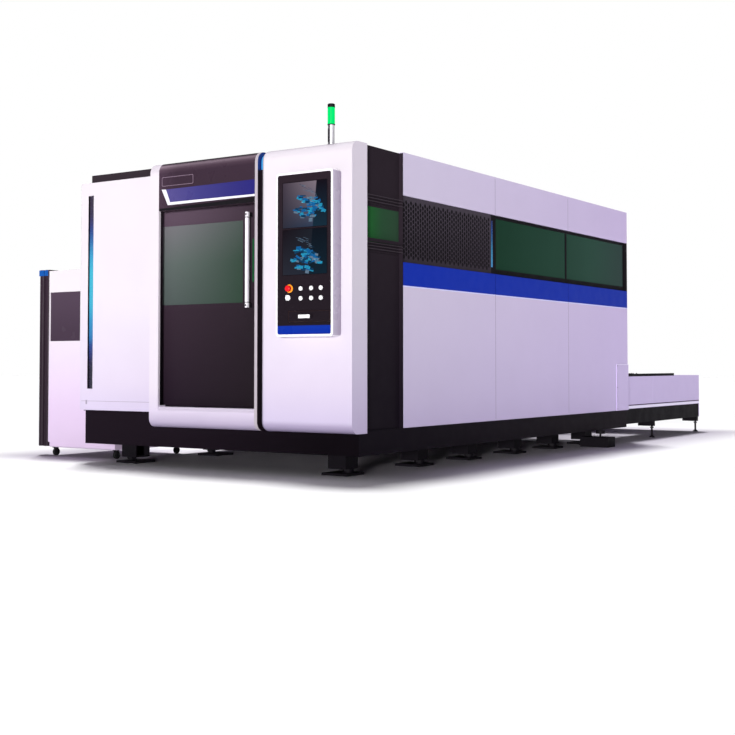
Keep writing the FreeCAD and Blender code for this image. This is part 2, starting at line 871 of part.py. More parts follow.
def front_left_cover():
    """White cover left of the door: front plate slotted for the light strip, side and top sheets."""
    x0, x1 = -cabin_width - left_cover_overhang, -door_frame_left
    y0 = left_cover_front
    front = box(x0, x1, y0, y0 + left_cover_thick, left_cover_bottom, left_cover_top)
    front = round_edges(front, left_cover_thick / 2, V(0, 0, 1), lambda c: near(c.x, x0) and near(c.y, y0))
    led0, led1 = left_led_limits()
    front = front.cut(box(led0, led1, y0 - 1, y0 + left_cover_thick + 1, left_led_bottom, left_led_top))
    t = cover_sheet
    side = box(x0, x0 + t, y0 + left_cover_thick, module_depth, left_cover_bottom, left_cover_top)
    top = box(x0 + t, x1, y0 + left_cover_thick, module_depth, left_cover_top - t, left_cover_top)
    return group([front, side, top])


def led_strips():
    """Three light strips: left cover, channel beside the door, and window band."""
    led0, led1 = left_led_limits()
    back = left_cover_front + left_cover_thick
    left = box(led0, led1, back - left_led_depth, back, left_led_bottom, left_led_top)
    x1 = -channel_right - channel_led_gap
    x0 = x1 - channel_led_width
    p = channel_led_proud
    outer = rounded_bar(x0, x1, channel_recess - p, module_depth - channel_led_back, channel_led_bottom,
                        channel_top + p, channel_profile + p, 0)
    inner = rounded_bar(x0 - 1, x1 + 1, channel_recess, module_depth, channel_led_bottom - 1, channel_top,
                        channel_profile, 0)
    y0 = transition_rear + grille_length + side_led_gap
    side = box(-band_recess, -band_recess + side_led_proud, y0, y0 + side_led_width,
               side_led_bottom, side_led_top)
    return group([left, outer.cut(inner), side])


def hanger(x):
    """Bracket on the top of the door that hooks over the rail."""
    y0 = door_back - hanger_thick
    rail_top = rail_bottom + rail_height
    upright = box(x, x + hanger_width, y0, door_back, door_top - 1, rail_top + running_gap + hanger_thick)
    hook = box(x, x + hanger_width, y0, module_depth - hook_clear, rail_top + running_gap,
               rail_top + running_gap + hanger_thick)
    return [upright, hook]


def door_leaf():
    """Black sliding leaf with its window opening and two hangers."""
    leaf = box(-door_left, -door_right, door_front, door_back, door_bottom, door_top)
    leaf = leaf.cut(box(-door_window_left, -door_window_right, door_front - 1, door_back + 1,
                        door_window_bottom, door_window_top))
    return join([leaf] + hanger(-door_left + hanger_inset)
                + hanger(-door_right - hanger_inset - hanger_width))


def door_window():
    """Green pane set into the leaf."""
    y0 = door_front + door_window_recess
    return box(-door_window_left, -door_window_right, y0, y0 + window_thick,
               door_window_bottom, door_window_top)


def door_handle():
    """Upright white bar with a foot at each end."""
    x0, x1 = -handle_left, -handle_left + handle_width
    bar = box(x0, x1, handle_front, handle_front + handle_thick, handle_bottom, handle_top)
    feet = [box(x0, x1, handle_front + handle_thick / 2, door_front, z, z + handle_foot)
            for z in (handle_bottom, handle_top - handle_foot)]
    return round_edges(join([bar] + feet), handle_edge_radius, V(0, 0, 1),
                       lambda c: near(c.y, handle_front))


# ------------------------------------------------------------------ console
def console_housing():
    """White rim of the console, a rounded tube between the cover and the glass."""
    outer = rounded_plate(-console_left, -console_right, -console_depth, 0,
                          console_bottom, console_top, console_radius)
    inner = rounded_plate(-console_left + console_rim, -console_right - console_rim,
                          -console_depth - 1, 1, console_bottom + console_rim, console_top - console_rim,
                          glass_radius)
    ring = outer.cut(inner)
    front = [e for e in ring.Edges if near(e.BoundBox.YMin, -console_depth) and near(e.BoundBox.YMax, -console_depth)
             and (e.BoundBox.XMin < -console_left + 1 or e.BoundBox.XMax > -console_right - 1
                  or e.BoundBox.ZMin < console_bottom + 1 or e.BoundBox.ZMax > console_top - 1)]
    return ring.makeFillet(console_edge_radius, front)


def button_places():
    return [(-x, z) for z in button_rows for x in button_columns]


def console_glass():
    """Black glass face with holes for the controls and for the keyboard drawer."""
    y0 = -console_depth
    plate = rounded_plate(-console_left + console_rim, -console_right - console_rim, y0, y0 + glass_thick,
                          console_bottom + console_rim, console_top - console_rim, glass_radius)
    holes = [(x, z, button_radius + running_gap) for x, z in button_places()]
    holes.append((-estop_x, estop_z, estop_stem_radius + running_gap))
    holes.append((-knob_x, knob_z, knob_stem_radius + running_gap))
    for x, z, radius in holes:
        plate = plate.cut(rod(radius, V(x, y0 - 1, z), V(0, 1, 0), glass_thick + 2))
    return plate.cut(box(-drawer_left, -drawer_right, y0 - 1, y0 + glass_thick + 1,
                         drawer_bottom, drawer_top))


def estop_collar():
    """Yellow collar behind the emergency stop head."""
    y0 = -console_depth - estop_collar_thick
    ring = rod(estop_collar_radius, V(-estop_x, y0, estop_z), V(0, 1, 0), estop_collar_thick)
    return ring.cut(rod(estop_stem_radius + running_gap, V(-estop_x, y0 - 1, estop_z), V(0, 1, 0),
                        estop_collar_thick + 2))


def estop_button():
    """Red mushroom head on its stem."""
    head = rod(estop_radius, V(-estop_x, y_low, estop_z), V(0, 1, 0), estop_head_depth)
    head = head.makeFillet(estop_edge_radius, [e for e in head.Edges if near(e.BoundBox.YMax, y_low)])
    stem = rod(estop_stem_radius, V(-estop_x, y_low + estop_head_depth - 1, estop_z), V(0, 1, 0),
               estop_stem_length)
    return join([head, stem])


def selector_knob():
    """White rotary knob with a raised grip."""
    y1 = -console_depth - running_gap
    disc = rod(knob_radius, V(-knob_x, y1 - knob_thick, knob_z), V(0, 1, 0), knob_thick)
    half_width, half_height = knob_grip_width / 2, knob_grip_height / 2
    grip = box(-knob_x - half_width, -knob_x + half_width, y1 - knob_thick - knob_grip_proud,
               y1 - knob_thick + 1, knob_z - half_height, knob_z + half_height)
    stem = rod(knob_stem_radius, V(-knob_x, y1 - 1, knob_z), V(0, 1, 0), knob_stem_length + 1)
    return join([disc, grip, stem])


def console_button(x, z):
    """Push button cap with the flange that holds it behind the glass."""
    y0 = -console_depth - button_proud
    inner = -console_depth + glass_thick + running_gap
    cap = rod(button_radius, V(x, y0, z), V(0, 1, 0), inner - y0 + 1)
    cap = cap.makeFillet(button_edge_radius, [e for e in cap.Edges if near(e.BoundBox.YMax, y0)])
    flange = rod(button_flange, V(x, inner, z), V(0, 1, 0), button_flange_thick)
    return join([cap, flange])


def keyboard_drawer():
    """Drawer with a front flush with the glass, a shallow tray and a pull."""
    g = drawer_gap
    x0, x1 = -drawer_left + g, -drawer_right - g
    z0, z1 = drawer_bottom + g, drawer_top - g
    y0 = -console_depth
    front = box(x0, x1, y0, y0 + glass_thick, z0, z1)
    floor = tray(x0, x1, y0 + glass_thick - 1, y0 + drawer_depth, z0, z0 + drawer_side, drawer_sheet, "+z")
    middle = (drawer_bottom + drawer_top) / 2
    pull = box(-drawer_handle_left, -drawer_handle_right, y0 - drawer_handle_reach, y0 + 1,
               middle - drawer_handle_height / 2, middle + drawer_handle_height / 2)
    return join([front, floor, pull])


# ------------------------------------------------------------------ signal tower
def tower_light_post():
    return rod(tower_radius - tower_post_inset, V(-tower_x, tower_y, cabin_height), V(0, 0, 1), tower_post_height)


def tower_light_lens():
    return rod(tower_radius, V(-tower_x, tower_y, cabin_height + tower_post_height), V(0, 0, 1),
               tower_lens_height)


def tower_light_cap():
    z = cabin_height + tower_post_height + tower_lens_height
    cap = rod(tower_radius, V(-tower_x, tower_y, z), V(0, 0, 1), tower_cap_height)
    rim = [e for e in cap.Edges if near(e.BoundBox.ZMin, z + tower_cap_height)]
    return cap.makeFillet(tower_cap_radius, rim)


# ------------------------------------------------------------------ gantry and head
def gantry_rails():
    """Two ground rails on the bed."""
    return group([box(x - rail_width / 2, x + rail_width / 2, bed_front + gantry_rail_inset,
                      bed_rear - gantry_rail_inset, bed_top, bed_top + gantry_rail_height)
                  for x in (bed_right, bed_left)])


def gantry_levels():
    low = bed_top + gantry_rail_height + running_gap + truck_bridge
    return low, low + gantry_height


def gantry_beam():
    """Cross beam with its two trucks and the two ways of the carriage."""
    low, high = gantry_levels()
    x0 = -cabin_width + frame_outer + frame_tube + gantry_end_clear
    x1 = -frame_outer - frame_tube - gantry_post_clear
    half = gantry_length / 2
    beam = box(x0, x1, gantry_home - half, gantry_home + half, low, high)
    beam = beam.cut(box(x0 - 1, x1 + 1, gantry_home - half + gantry_wall, gantry_home + half - gantry_wall,
                        low + gantry_wall, high - gantry_wall))
    pieces = [beam]
    for x in (bed_right, bed_left):
        truck = box(x - truck_width / 2, x + truck_width / 2, gantry_home - half, gantry_home + half,
                    bed_top + gantry_rail_height - truck_drop, low)
        slot = box(x - rail_width / 2 - running_gap, x + rail_width / 2 + running_gap,
                   gantry_home - half - 1, gantry_home + half + 1,
                   bed_top, bed_top + gantry_rail_height + running_gap)
        pieces.append(truck.cut(slot))
    for z in (low + beam_way_height, high - 2 * beam_way_height):
        pieces.append(box(x0, x1, gantry_home - half - beam_way_proud, gantry_home - half,
                          z, z + beam_way_height))
    return join(pieces)


def carriage_back():
    return gantry_home - gantry_length / 2 - beam_way_proud - running_gap


def carriage():
    """Plate that runs along the beam and carries the head."""
    low, high = gantry_levels()
    back = carriage_back()
    return box(bed_center - carriage_width / 2, bed_center + carriage_width / 2,
               back - carriage_thick, back, low, high + carriage_over)


def head_back():
    return carriage_back() - carriage_thick - running_gap


def cutting_head():
    """Laser head block with its round nose."""
    back = head_back()
    center_y = back - head_depth / 2
    block = box(bed_center - head_width / 2, bed_center + head_width / 2, back - head_depth, back,
                head_bottom, head_bottom + head_height)
    nose = rod(nose_radius, V(bed_center, center_y, head_bottom - nose_height), V(0, 0, 1), nose_height + 1)
    return join([block, nose])


def cutting_nozzle():
    """Brass cone at the end of the head."""
    center_y = head_back() - head_depth / 2
    bottom = head_bottom - nose_height - nozzle_height
    return Part.makeCone(nozzle_tip_radius, nozzle_top_radius, nozzle_height, V(bed_center, center_y, bottom))


# ------------------------------------------------------------------ pallets
def slat(x0, x1, y, z):
    """Support slat with a toothed upper edge."""
    count = int((x1 - x0) / tooth_pitch)
    step = (x1 - x0) / count
    valley = z + slat_height - slat_tooth
    points = [V(x0, y, z), V(x0, y, valley)]
    for i in range(count):
        points.append(V(x0 + (i + 0.5) * step, y, z + slat_height))
        points.append(V(x0 + (i + 1) * step, y, valley))
    points += [V(x1, y, z), V(x0, y, z)]
    return Part.Face(Part.makePolygon(points)).extrude(V(0, slat_thick, 0))


def pallet(half, level, y0):
    """Frame of five square tubes with its row of slats standing on it."""
    x0, x1 = bed_center - half, bed_center + half
    y1 = y0 + pallet_length
    t = pallet_tube
    tubes = [box(x, x + t, y0, y1, level, level + t) for x in (x0, x1 - t)]
    tubes += [box(x0 + t, x1 - t, y, y + t, level, level + t) for y in (y0, y1 - t)]
    tubes.append(box(bed_center - t / 2, bed_center + t / 2, y0 + t, y1 - t, level, level + t))
    count = int((pallet_length - t) / slat_pitch)
    first = y0 + (pallet_length - (count - 1) * slat_pitch - slat_thick) / 2
    return group(tubes + [slat(x0 + slat_end_gap, x1 - slat_end_gap, first + i * slat_pitch, level + t)
                          for i in range(count)])


def upper_pallet():
    return pallet(upper_pallet_half, upper_runner_level, pallet_home + pallet_travel)


def lower_pallet():
    return pallet(lower_pallet_half, lower_runner_level, pallet_home)


# ------------------------------------------------------------------ exchange table
def table_side(side):
    """Signed positions, for one side, of the cover's inner skin and of the beam's two faces."""
    skin = bed_center + side * (-bed_center - table_inset - table_sheet)
    inner = bed_center + side * bed_inner_half
    return skin, inner, inner + side * table_beam_width


def table_rows():
    """Start and end of the frame members across the table."""
    half = outrigger_size / 2
    rows = (cabin_rear + outrigger_size,) + table_foot_positions
    return [(y - half, min(y + half, table_rear - table_sheet)) for y in rows]


def table_outrigger(x, y):
    """Foot arm below the table and the riser that carries it."""
    toward = 1 if x < bed_center else -1
    y0, y1 = y - outrigger_size / 2, min(y + outrigger_size / 2, table_rear - table_sheet)
    tip, end = x - toward * outrigger_size / 2, x + toward * outrigger_reach
    neck = end - toward * outrigger_size
    top = outrigger_bottom + outrigger_size
    return [box(min(tip, end), max(tip, end), y0, y1, outrigger_bottom, top),
            box(min(neck, end), max(neck, end), y0, y1, top, table_beam_bottom)]


def table_bar(side):
    """Black guard bar lying on the side cover."""
    skin = table_side(side)[0]
    low, high = sorted((skin, skin - side * table_bar_width))
    return box(low, high, cabin_rear, table_bar_end, table_top, table_top + table_bar_height)


def table_frame():
    """Members of the exchange table: beams, plinth skins, ties, runners, feet arms and guard bars."""
    y0, y1 = cabin_rear, table_rear - table_sheet
    pieces = []
    for side in (1, -1):
        skin, inner, outer = table_side(side)
        low, high = sorted((inner, outer))
        pieces.append(box(low, high, y0, y1, table_beam_bottom, table_beam_top))
        low, high = sorted((skin, skin - side * plinth_sheet))
        pieces.append(box(low, high, y0, y1, table_plinth_bottom, plinth_top + plinth_inset))
        low, high = sorted((skin - side * plinth_sheet, outer))
        pieces += [box(low, high, start, end, table_beam_bottom, plinth_top) for start, end in table_rows()]
        pieces.append(table_bar(side))
    pieces += [box(bed_center - bed_inner_half, bed_center + bed_inner_half, start, end,
                   table_beam_bottom, table_beam_bottom + cross_member_height) for start, end in table_rows()]
    pieces += runners(cabin_rear, table_slat_end + table_runner_overrun)
    for place in table_foot_places():
        pieces += table_outrigger(*place)
    return group(pieces)


def table_side_cover(side, y0, y1):
    """White cover along one side of the table: side sheet, top ledge and a groove."""
    t = table_sheet
    face = bed_center + side * (-bed_center - table_inset)
    inner = bed_center + side * (upper_pallet_half + table_ledge_gap)
    low, high = sorted((face, inner))
    shell = box(low, high, y0, y1, plinth_top, table_top)
    cut_low, cut_high = sorted((face - side * t, inner - side))
    shell = shell.cut(box(cut_low, cut_high, y0 - 1, y1 + 1, plinth_top - 1, table_top - t))
    groove_low, groove_high = sorted((face - side * table_groove_depth, face + side))
    return shell.cut(box(groove_low, groove_high, y0 - 1, min(y1 + 1, table_rear - table_groove_end),
                         table_groove_level, table_groove_level + table_groove))


def table_end_cover():
    """White top and rear sheets that close the end of the table."""
    t = table_sheet
    inner_half = upper_pallet_half + table_ledge_gap
    outer_half = -bed_center - table_inset
    top = box(bed_center - inner_half, bed_center + inner_half, table_slat_end, table_rear,
              table_top - t, table_top)
    rear = box(bed_center - outer_half, bed_center + outer_half, table_rear - t, table_rear,
               table_plinth_bottom, table_top)
    front = box(bed_center - inner_half, bed_center + inner_half, table_slat_end, table_slat_end + t,
                table_end_sheet_bottom, table_top)
    return join([top, rear, front])


def table_covers():
    """Side covers in two lengths, and the end cover."""
    spans = ((cabin_rear, table_seam - panel_gap / 2),
             (table_seam + panel_gap / 2, table_rear - table_sheet))
    covers = [table_side_cover(side, y0, y1) for side in (1, -1) for y0, y1 in spans]
    return group(covers + [table_end_cover()])


# ------------------------------------------------------------------ laser source cabinet
def cabinet_back():
    return cabinet_front + cabinet_depth


def cabinet_body():
    """White cabinet shell, open at the front, with its shelf and base lip."""
    x0, x1 = -cabinet_left, -cabin_width
    y0, y1 = cabinet_front + cabinet_door_thick + 2 * running_gap, cabinet_back()
    shell = tray(x0, x1, y0, y1, cabinet_bottom, cabinet_top, cabinet_sheet, "-y")
    shelf = box(x0, x1, y0 + shelf_setback, y1, source_level - cabinet_sheet, source_level)
    lip = box(x0 + cabinet_lip_inset, x1 - cabinet_lip_inset, cabinet_front + cabinet_lip_inset,
              y1 - cabinet_lip_inset, cabinet_lip_bottom, cabinet_bottom - running_gap)
    lip = round_edges(lip, cabinet_lip_radius, V(1, 0, 0), lambda c: near(c.z, cabinet_lip_bottom))
    inset = cabinet_bridge_inset
    bridge = box(x0 + inset, x1 - inset, y0 + inset, y1 - inset,
                 cabinet_lip_bottom + cabinet_bridge_rise, cabinet_bottom + 1)
    return join([shell, shelf, lip, bridge])


def cabinet_door():
    """Door with a rounded hinge edge at the left and a shallow recess at the top left."""
    t = cabinet_door_thick
    x0, x1 = -cabinet_left + running_gap, -cabin_width - cabinet_door_gap
    y0, y1 = cabinet_front, cabinet_front + t
    z0, z1 = cabinet_bottom + running_gap, cabinet_top
    axis_x = x0 + t / 2
    leaf = box(axis_x, x1, y0, y1, z0, z1)
    edge = rod(t / 2, V(axis_x, y0 + t / 2, z0), V(0, 0, 1), z1 - z0)
    recess = box(axis_x + 2, -cabinet_recess_right, y0 - 1, y0 + cabinet_recess_depth,
                 cabinet_recess_bottom, cabinet_recess_top)
    return join([leaf, edge]).cut(recess)


def cabinet_post():
    """Double rounded column at the left edge, on a short foot."""
    x0 = -cabinet_left - cabinet_post_width
    x1 = -cabinet_left
    y0, y1 = cabinet_front, cabinet_front + cabinet_post_depth
    half = (cabinet_post_width - cabinet_post_groove) / 2
    columns = []
    for low in (x0, x1 - half):
        column = box(low, low + half, y0, y1, cabinet_post_bottom, cabinet_post_top)
        columns.append(round_edges(column, cabinet_post_radius, V(0, 0, 1), lambda c: near(c.y, y0)))
    back = box(x0, x1, y1 - cabinet_post_depth / 2, y1, cabinet_post_bottom, cabinet_post_top)
    return join(columns + [back])


def laser_source():
    """Laser source unit standing on the cabinet's shelf."""
    center = -(cabinet_left + cabin_width) / 2
    y0 = cabinet_front + source_setback
    return box(center - source_width / 2, center + source_width / 2, y0, y0 + source_depth,
               source_level, source_level + source_height)


def caster_places():
    xs = (-cabinet_left + caster_inset_x, -cabin_width - caster_inset_x)
    ys = (cabinet_front + caster_inset_front, cabinet_back() - caster_inset_front)
    return [(x, y) for y in ys for x in xs]


def caster_fork(x, y):
    """Swivel fork with its axle; the wheel trails behind the swivel axis."""
    top = cabinet_lip_bottom - running_gap
    half = wheel_width / 2 + fork_side_clear
    outer = half + fork_sheet
    wheel_y = y + caster_trail
    pieces = [rod(outer + fork_plate_margin, V(x, y, top - fork_plate), V(0, 0, 1), fork_plate)]
    for low in (x - outer, x + half):
        pieces.append(box(low, low + fork_sheet, wheel_y - fork_cheek_front, wheel_y + fork_cheek_back,
                          wheel_radius - fork_cheek_drop, top - 1))
    pieces.append(rod(axle_radius, V(x - outer, wheel_y, wheel_radius), V(1, 0, 0), 2 * outer))
    return join(pieces)


def caster_wheel(x, y):
    """Wheel on the fork's axle."""
    start = V(x - wheel_width / 2, y + caster_trail, wheel_radius)
    wheel = rod(wheel_radius, start, V(1, 0, 0), wheel_width)
    rims = [e for e in wheel.Edges if e.Length > 3 * wheel_radius and len(e.Vertexes) == 1]
    wheel = wheel.makeFillet(wheel_edge_radius, rims)
    hole = rod(axle_radius + axle_clear, start - V(1, 0, 0), V(1, 0, 0), wheel_width + 2)
    return wheel.cut(hole)


# ------------------------------------------------------------------ floor service box
def floor_box():
    """Service box on the floor beside the feet, with its capped inlet and a tie to the last foot."""
    y1 = floor_box_front + floor_box_depth
    body = box(floor_box_left, floor_box_right, floor_box_front, y1, 0, floor_box_height)
    center_y = floor_box_front + floor_box_depth / 2
    stem = rod(floor_box_stem_radius, V(floor_box_cap_x, center_y, floor_box_height - 1), V(0, 0, 1),
               floor_box_cap_bottom - floor_box_height + 2)
    cap = rod(floor_box_cap_radius, V(floor_box_cap_x, center_y, floor_box_cap_bottom), V(0, 0, 1),
              floor_box_cap_height)
    tie = box(bed_right + foot_plate_x / 2 - floor_box_tie, floor_box_left + floor_box_tie, y1 - 1,
              foot_positions[-1] - foot_plate_y / 2, 0, foot_plate_thick)
    return join([body, stem, cap, tie])


# ------------------------------------------------------------------ export
def save(name, shape):
    """Move a piece into the export frame and write its STEP file."""
    moved = shape.copy()
    moved.translate(to_origin)
    moved.exportStep("parts/" + name + ".step")


def single_pieces():
    """Functions whose node name is their own name."""
    return (bed_frame, levelling_feet, plinth_skirt, cabin_frame, right_upper_panels, right_lower_panels,
            left_side_panels, roof_panels, rear_wall, rear_hatch, grille_panel, band_frame, side_windows,
            transition_cover, front_wall, front_right_cover, door_header, door_surround, front_left_cover,
            led_strips, door_leaf, door_window, door_handle, console_housing, console_glass,
            estop_collar, estop_button, selector_knob, keyboard_drawer, tower_light_post,
            tower_light_lens, tower_light_cap, gantry_rails, gantry_beam, carriage, cutting_head,
            cutting_nozzle, upper_pallet, lower_pallet, table_frame, table_covers, cabinet_body,
            cabinet_door, cabinet_post, laser_source, floor_box)


def main():
    os.makedirs("parts", exist_ok=True)
    for make in single_pieces():
        save(make.__name__, make())
    for number, (x, z) in enumerate(button_places(), 1):
        save("console_button_%d" % number, console_button(x, z))
    for number, (x, y) in enumerate(caster_places(), 1):
        save("caster_fork_%d" % number, caster_fork(x, y))
        save("caster_wheel_%d" % number, caster_wheel(x, y))


main()
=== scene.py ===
"""Looks of the enclosed fiber laser cutting machine: finishes, trim, screens, lights and camera.

Places are millimetres from the cabin's right side face (x), the front plane of its covers (y) and
the floor (z). Colours in whole numbers are on the scale of 0 to 255, the others are linear.
"""
import math
import random

import bmesh
import bpy
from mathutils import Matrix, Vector


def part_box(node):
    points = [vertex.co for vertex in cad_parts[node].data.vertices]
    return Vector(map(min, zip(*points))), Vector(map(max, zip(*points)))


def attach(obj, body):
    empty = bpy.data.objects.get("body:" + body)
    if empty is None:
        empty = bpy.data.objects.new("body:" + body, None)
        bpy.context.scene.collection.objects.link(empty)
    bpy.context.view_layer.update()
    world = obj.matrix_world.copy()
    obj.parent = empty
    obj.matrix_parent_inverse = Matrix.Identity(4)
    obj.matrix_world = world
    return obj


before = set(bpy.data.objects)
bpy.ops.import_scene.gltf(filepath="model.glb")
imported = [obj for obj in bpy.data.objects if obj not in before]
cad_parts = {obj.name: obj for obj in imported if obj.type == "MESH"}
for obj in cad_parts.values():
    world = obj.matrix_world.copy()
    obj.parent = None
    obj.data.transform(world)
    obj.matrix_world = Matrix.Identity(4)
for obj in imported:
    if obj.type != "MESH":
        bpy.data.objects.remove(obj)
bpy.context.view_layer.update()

MM = 0.001
SIDE_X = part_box("right_lower_panels")[1].x
FRONT_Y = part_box("front_right_cover")[0].y
FACE = -95.0    # y of the console's face


def at(x, y, z):
    """Point of the frame, in metres."""
    return Vector((SIDE_X + x * MM, FRONT_Y + y * MM, z * MM))


def local(v):
    """Millimetres of a point of the frame."""
    return (v.x - SIDE_X) / MM, (v.y - FRONT_Y) / MM, v.z / MM


def corners(box):
    """Low and high corner of a box of the frame, in millimetres."""
    return local(box[0]), local(box[1])


# ---- materials
NOISE_MIDDLE = (0.3, 0.7)
HAZE_MIDDLE = (0.35, 0.65)
BLACK = (0.0, 0.0, 0.0)


class Look:
    """Builder of one node material around a Principled shader."""

    def __init__(self, name, **values):
        self.mat = bpy.data.materials.new(name)
        self.mat.use_nodes = True
        self.nodes = self.mat.node_tree.nodes
        self.links = self.mat.node_tree.links
        self.nodes.clear()
        out = self.nodes.new("ShaderNodeOutputMaterial")
        self.bsdf = self.nodes.new("ShaderNodeBsdfPrincipled")
        self.links.new(self.bsdf.outputs[0], out.inputs[0])
        self.coords = self.nodes.new("ShaderNodeTexCoord").outputs["Object"]
        split = self.nodes.new("ShaderNodeSeparateXYZ")
        self.links.new(self.coords, split.inputs[0])
        x, y, z = split.outputs
        self.axes = {"x": (x, SIDE_X), "y": (y, FRONT_Y), "z": (z, 0.0)}
        facing = self.nodes.new("ShaderNodeSeparateXYZ")
        normal = self.nodes.new("ShaderNodeNewGeometry").outputs["Normal"]
        self.links.new(normal, facing.inputs[0])
        self.facing_x = facing.outputs[0]
        for key, value in values.items():
            self.bsdf.inputs[key.replace("_", " ")].default_value = value

    def feed(self, socket, source):
        self.links.new(source, self.bsdf.inputs[socket])

    def noise(self, scale, detail=3.0, stretch=None):
        node = self.nodes.new("ShaderNodeTexNoise")
        node.inputs["Scale"].default_value = scale
        node.inputs["Detail"].default_value = detail
        source = self.coords
        if stretch:
            mapping = self.nodes.new("ShaderNodeMapping")
            mapping.inputs["Scale"].default_value = stretch
            self.links.new(source, mapping.inputs["Vector"])
            source = mapping.outputs[0]
        self.links.new(source, node.inputs["Vector"])
        return node.outputs["Fac"]

    def span(self, source, low, high, out_low=0.0, out_high=1.0, smooth=False):
        """Maps one range of a value to another."""
        node = self.nodes.new("ShaderNodeMapRange")
        node.interpolation_type = "SMOOTHSTEP" if smooth else "LINEAR"
        ends = {"From Min": low, "From Max": high, "To Min": out_low, "To Max": out_high}
        for key, value in ends.items():
            node.inputs[key].default_value = value
        self.links.new(source, node.inputs["Value"])
        return node.outputs[0]

    def spread(self, noise, out_low=0.0, out_high=1.0, middle=NOISE_MIDDLE):
        """Stretches the middle of a noise, where most of it lies, over a full range."""
        return self.span(noise, *middle, out_low, out_high)

    def reach(self, axis, start, end, out_low=0.0, out_high=1.0, smooth=False):
        """Straight change from 0 to 1 between two places along an axis."""
        source, origin = self.axes[axis]
        return self.span(source, origin + start * MM, origin + end * MM, out_low, out_high, smooth)

    def rise(self, axis, start, end):
        """Soft step from 0 to 1 between two places along an axis."""
        return self.reach(axis, start, end, smooth=True)

    def fall(self, axis, start, end):
        """Soft step from 1 to 0 between two places along an axis."""
        return self.reach(axis, start, end, 1.0, 0.0, smooth=True)

    def past(self, axis, limit, operation="GREATER_THAN"):
        """1 beyond a place along an axis, 0 before it."""
        source, origin = self.axes[axis]
        return self.math(operation, source, origin + limit * MM)

    def before(self, axis, limit):
        """1 before a place along an axis, 0 beyond it."""
        return self.past(axis, limit, "LESS_THAN")

    def math(self, operation, a, b):
        node = self.nodes.new("ShaderNodeMath")
        node.operation = operation
        for socket, value in zip(node.inputs, (a, b)):
            if isinstance(value, (int, float)):
                socket.default_value = value
            else:
                self.links.new(value, socket)
        return node.outputs[0]

    def turned(self, low=0.5, high=0.9):
        """1 on faces that look to the right, 0 on the front ones."""
        return self.span(self.facing_x, low, high, smooth=True)

    def both(self, *masks):
        """Product of masks."""
        product = masks[0]
        for mask in masks[1:]:
            product = self.math("MULTIPLY", product, mask)
        return product

    def mix(self, factor, a, b, blend="MIX"):
        node = self.nodes.new("ShaderNodeMix")
        node.data_type = "RGBA"
        node.blend_type = blend
        if isinstance(factor, (int, float)):
            node.inputs[0].default_value = factor
        else:
            self.links.new(factor, node.inputs[0])
        for socket, value in ((node.inputs[6], a), (node.inputs[7], b)):
            if isinstance(value, tuple):
                socket.default_value = (*value, 1.0)
            else:
                self.links.new(value, socket)
        return node.outputs[2]

    def times(self, tone, colour):
        """Tone multiplied by a colour."""
        return self.mix(1.0, tone, colour, "MULTIPLY")

    def ramp(self, source, light, stops):
        """Tones from (position, r, g, b) stops, each colour seen in a light."""
        node = self.nodes.new("ShaderNodeValToRGB")
        elements = node.color_ramp.elements
        elements.remove(elements[1])
        elements[0].position = stops[0][0]
        elements[0].color = (*light(*stops[0][1:]), 1.0)
        for position, *colour in stops[1:]:
            elements.new(position).color = (*light(*colour), 1.0)
        self.links.new(source, node.inputs[0])
        return node.outputs[0]

    def by_height(self, light, stops):
        """The same from (height, r, g, b) stops."""
        low, high = stops[0][0], stops[-1][0]
        shares = [((z - low) / (high - low), *colour) for z, *colour in stops]
        return self.ramp(self.reach("z", low, high), light, shares)

    def bump(self, source, strength, distance):
        node = self.nodes.new("ShaderNodeBump")
        node.inputs["Strength"].default_value = strength
        node.inputs["Distance"].default_value = distance
        self.links.new(source, node.inputs["Height"])
        self.feed("Normal", node.outputs[0])


def rgb(r, g, b):
    """Linear colour of a colour on the scale of 0 to 255."""
    shares = (c / 255 for c in (r, g, b))
    return tuple(((c + 0.055) / 1.055) ** 2.4 if c > 10 / 255 else c / 12.92 for c in shares)


FRONT_LIGHT = 1.67


def front(r, g, b):
    """Base colour that reads as the given one on faces in the front light."""
    return tuple(c / FRONT_LIGHT for c in rgb(r, g, b))


side = rgb    # faces in the side light read as their base colour

MOTTLE_SHADE = (0.25, 0.22, 0.32)


def finish_paint(look, tone, rough=0.42, peel=0.12, mottle=0.035):
    """Powder coat over a tone: faint mottling, drifting gloss and a fine orange peel."""
    patches = look.spread(look.noise(scale=2.3, detail=2.0))
    darker = look.mix(mottle, tone, MOTTLE_SHADE, "MULTIPLY")
    look.feed("Base Color", look.mix(patches, darker, tone))
    drift = look.noise(scale=9.0, detail=4.0)
    look.feed("Roughness", look.spread(drift, rough - 0.05, rough + 0.06))
    look.bump(look.noise(scale=620.0, detail=2.0), peel, distance=0.0004)
    return look


def painted(name, top, low, z=(200, 2200), ior=1.3, **finish):
    """Powder coat whose tone drifts from one height to another: painted shade, darker towards the
    floor.
    """
    look = Look(name, IOR=ior)
    return finish_paint(look, look.mix(look.rise("z", *z), low, top), **finish)


# painted shade: the covers darken to lilac at the foot and at the top rounding, and the flank tones
# darken the faces that look to the right
COVER_TONES = (
    (300, 170, 156, 192), (345, 192, 179, 213), (378, 230, 218, 249), (620, 240, 228, 251),
    (1300, 251, 243, 254), (2190, 254, 246, 255), (2225, 240, 232, 243), (2250, 214, 205, 217))
COVER_FLANK_TONES = ((300, 184, 172, 204), (1300, 200, 194, 207), (2250, 209, 201, 214))
RIM_SHADE = (0.60, 0.60, 0.62)
ARC_FOOT = (2112, 2128)    # heights between which the curved light strip begins
RIGHT_COVER = -900    # x between the two front covers
RIM, RIM_SHINE = (-750, -736), (-764, -752)    # x ranges where the rim's painted shade and painted glow end
# painted glow of the light strip: RIM_GLOW on the right cover's rim, POST_GLOW on the post's flank
# in the channel
RIM_GLOW, POST_GLOW = (20, 120, 190), (12, 46, 114)


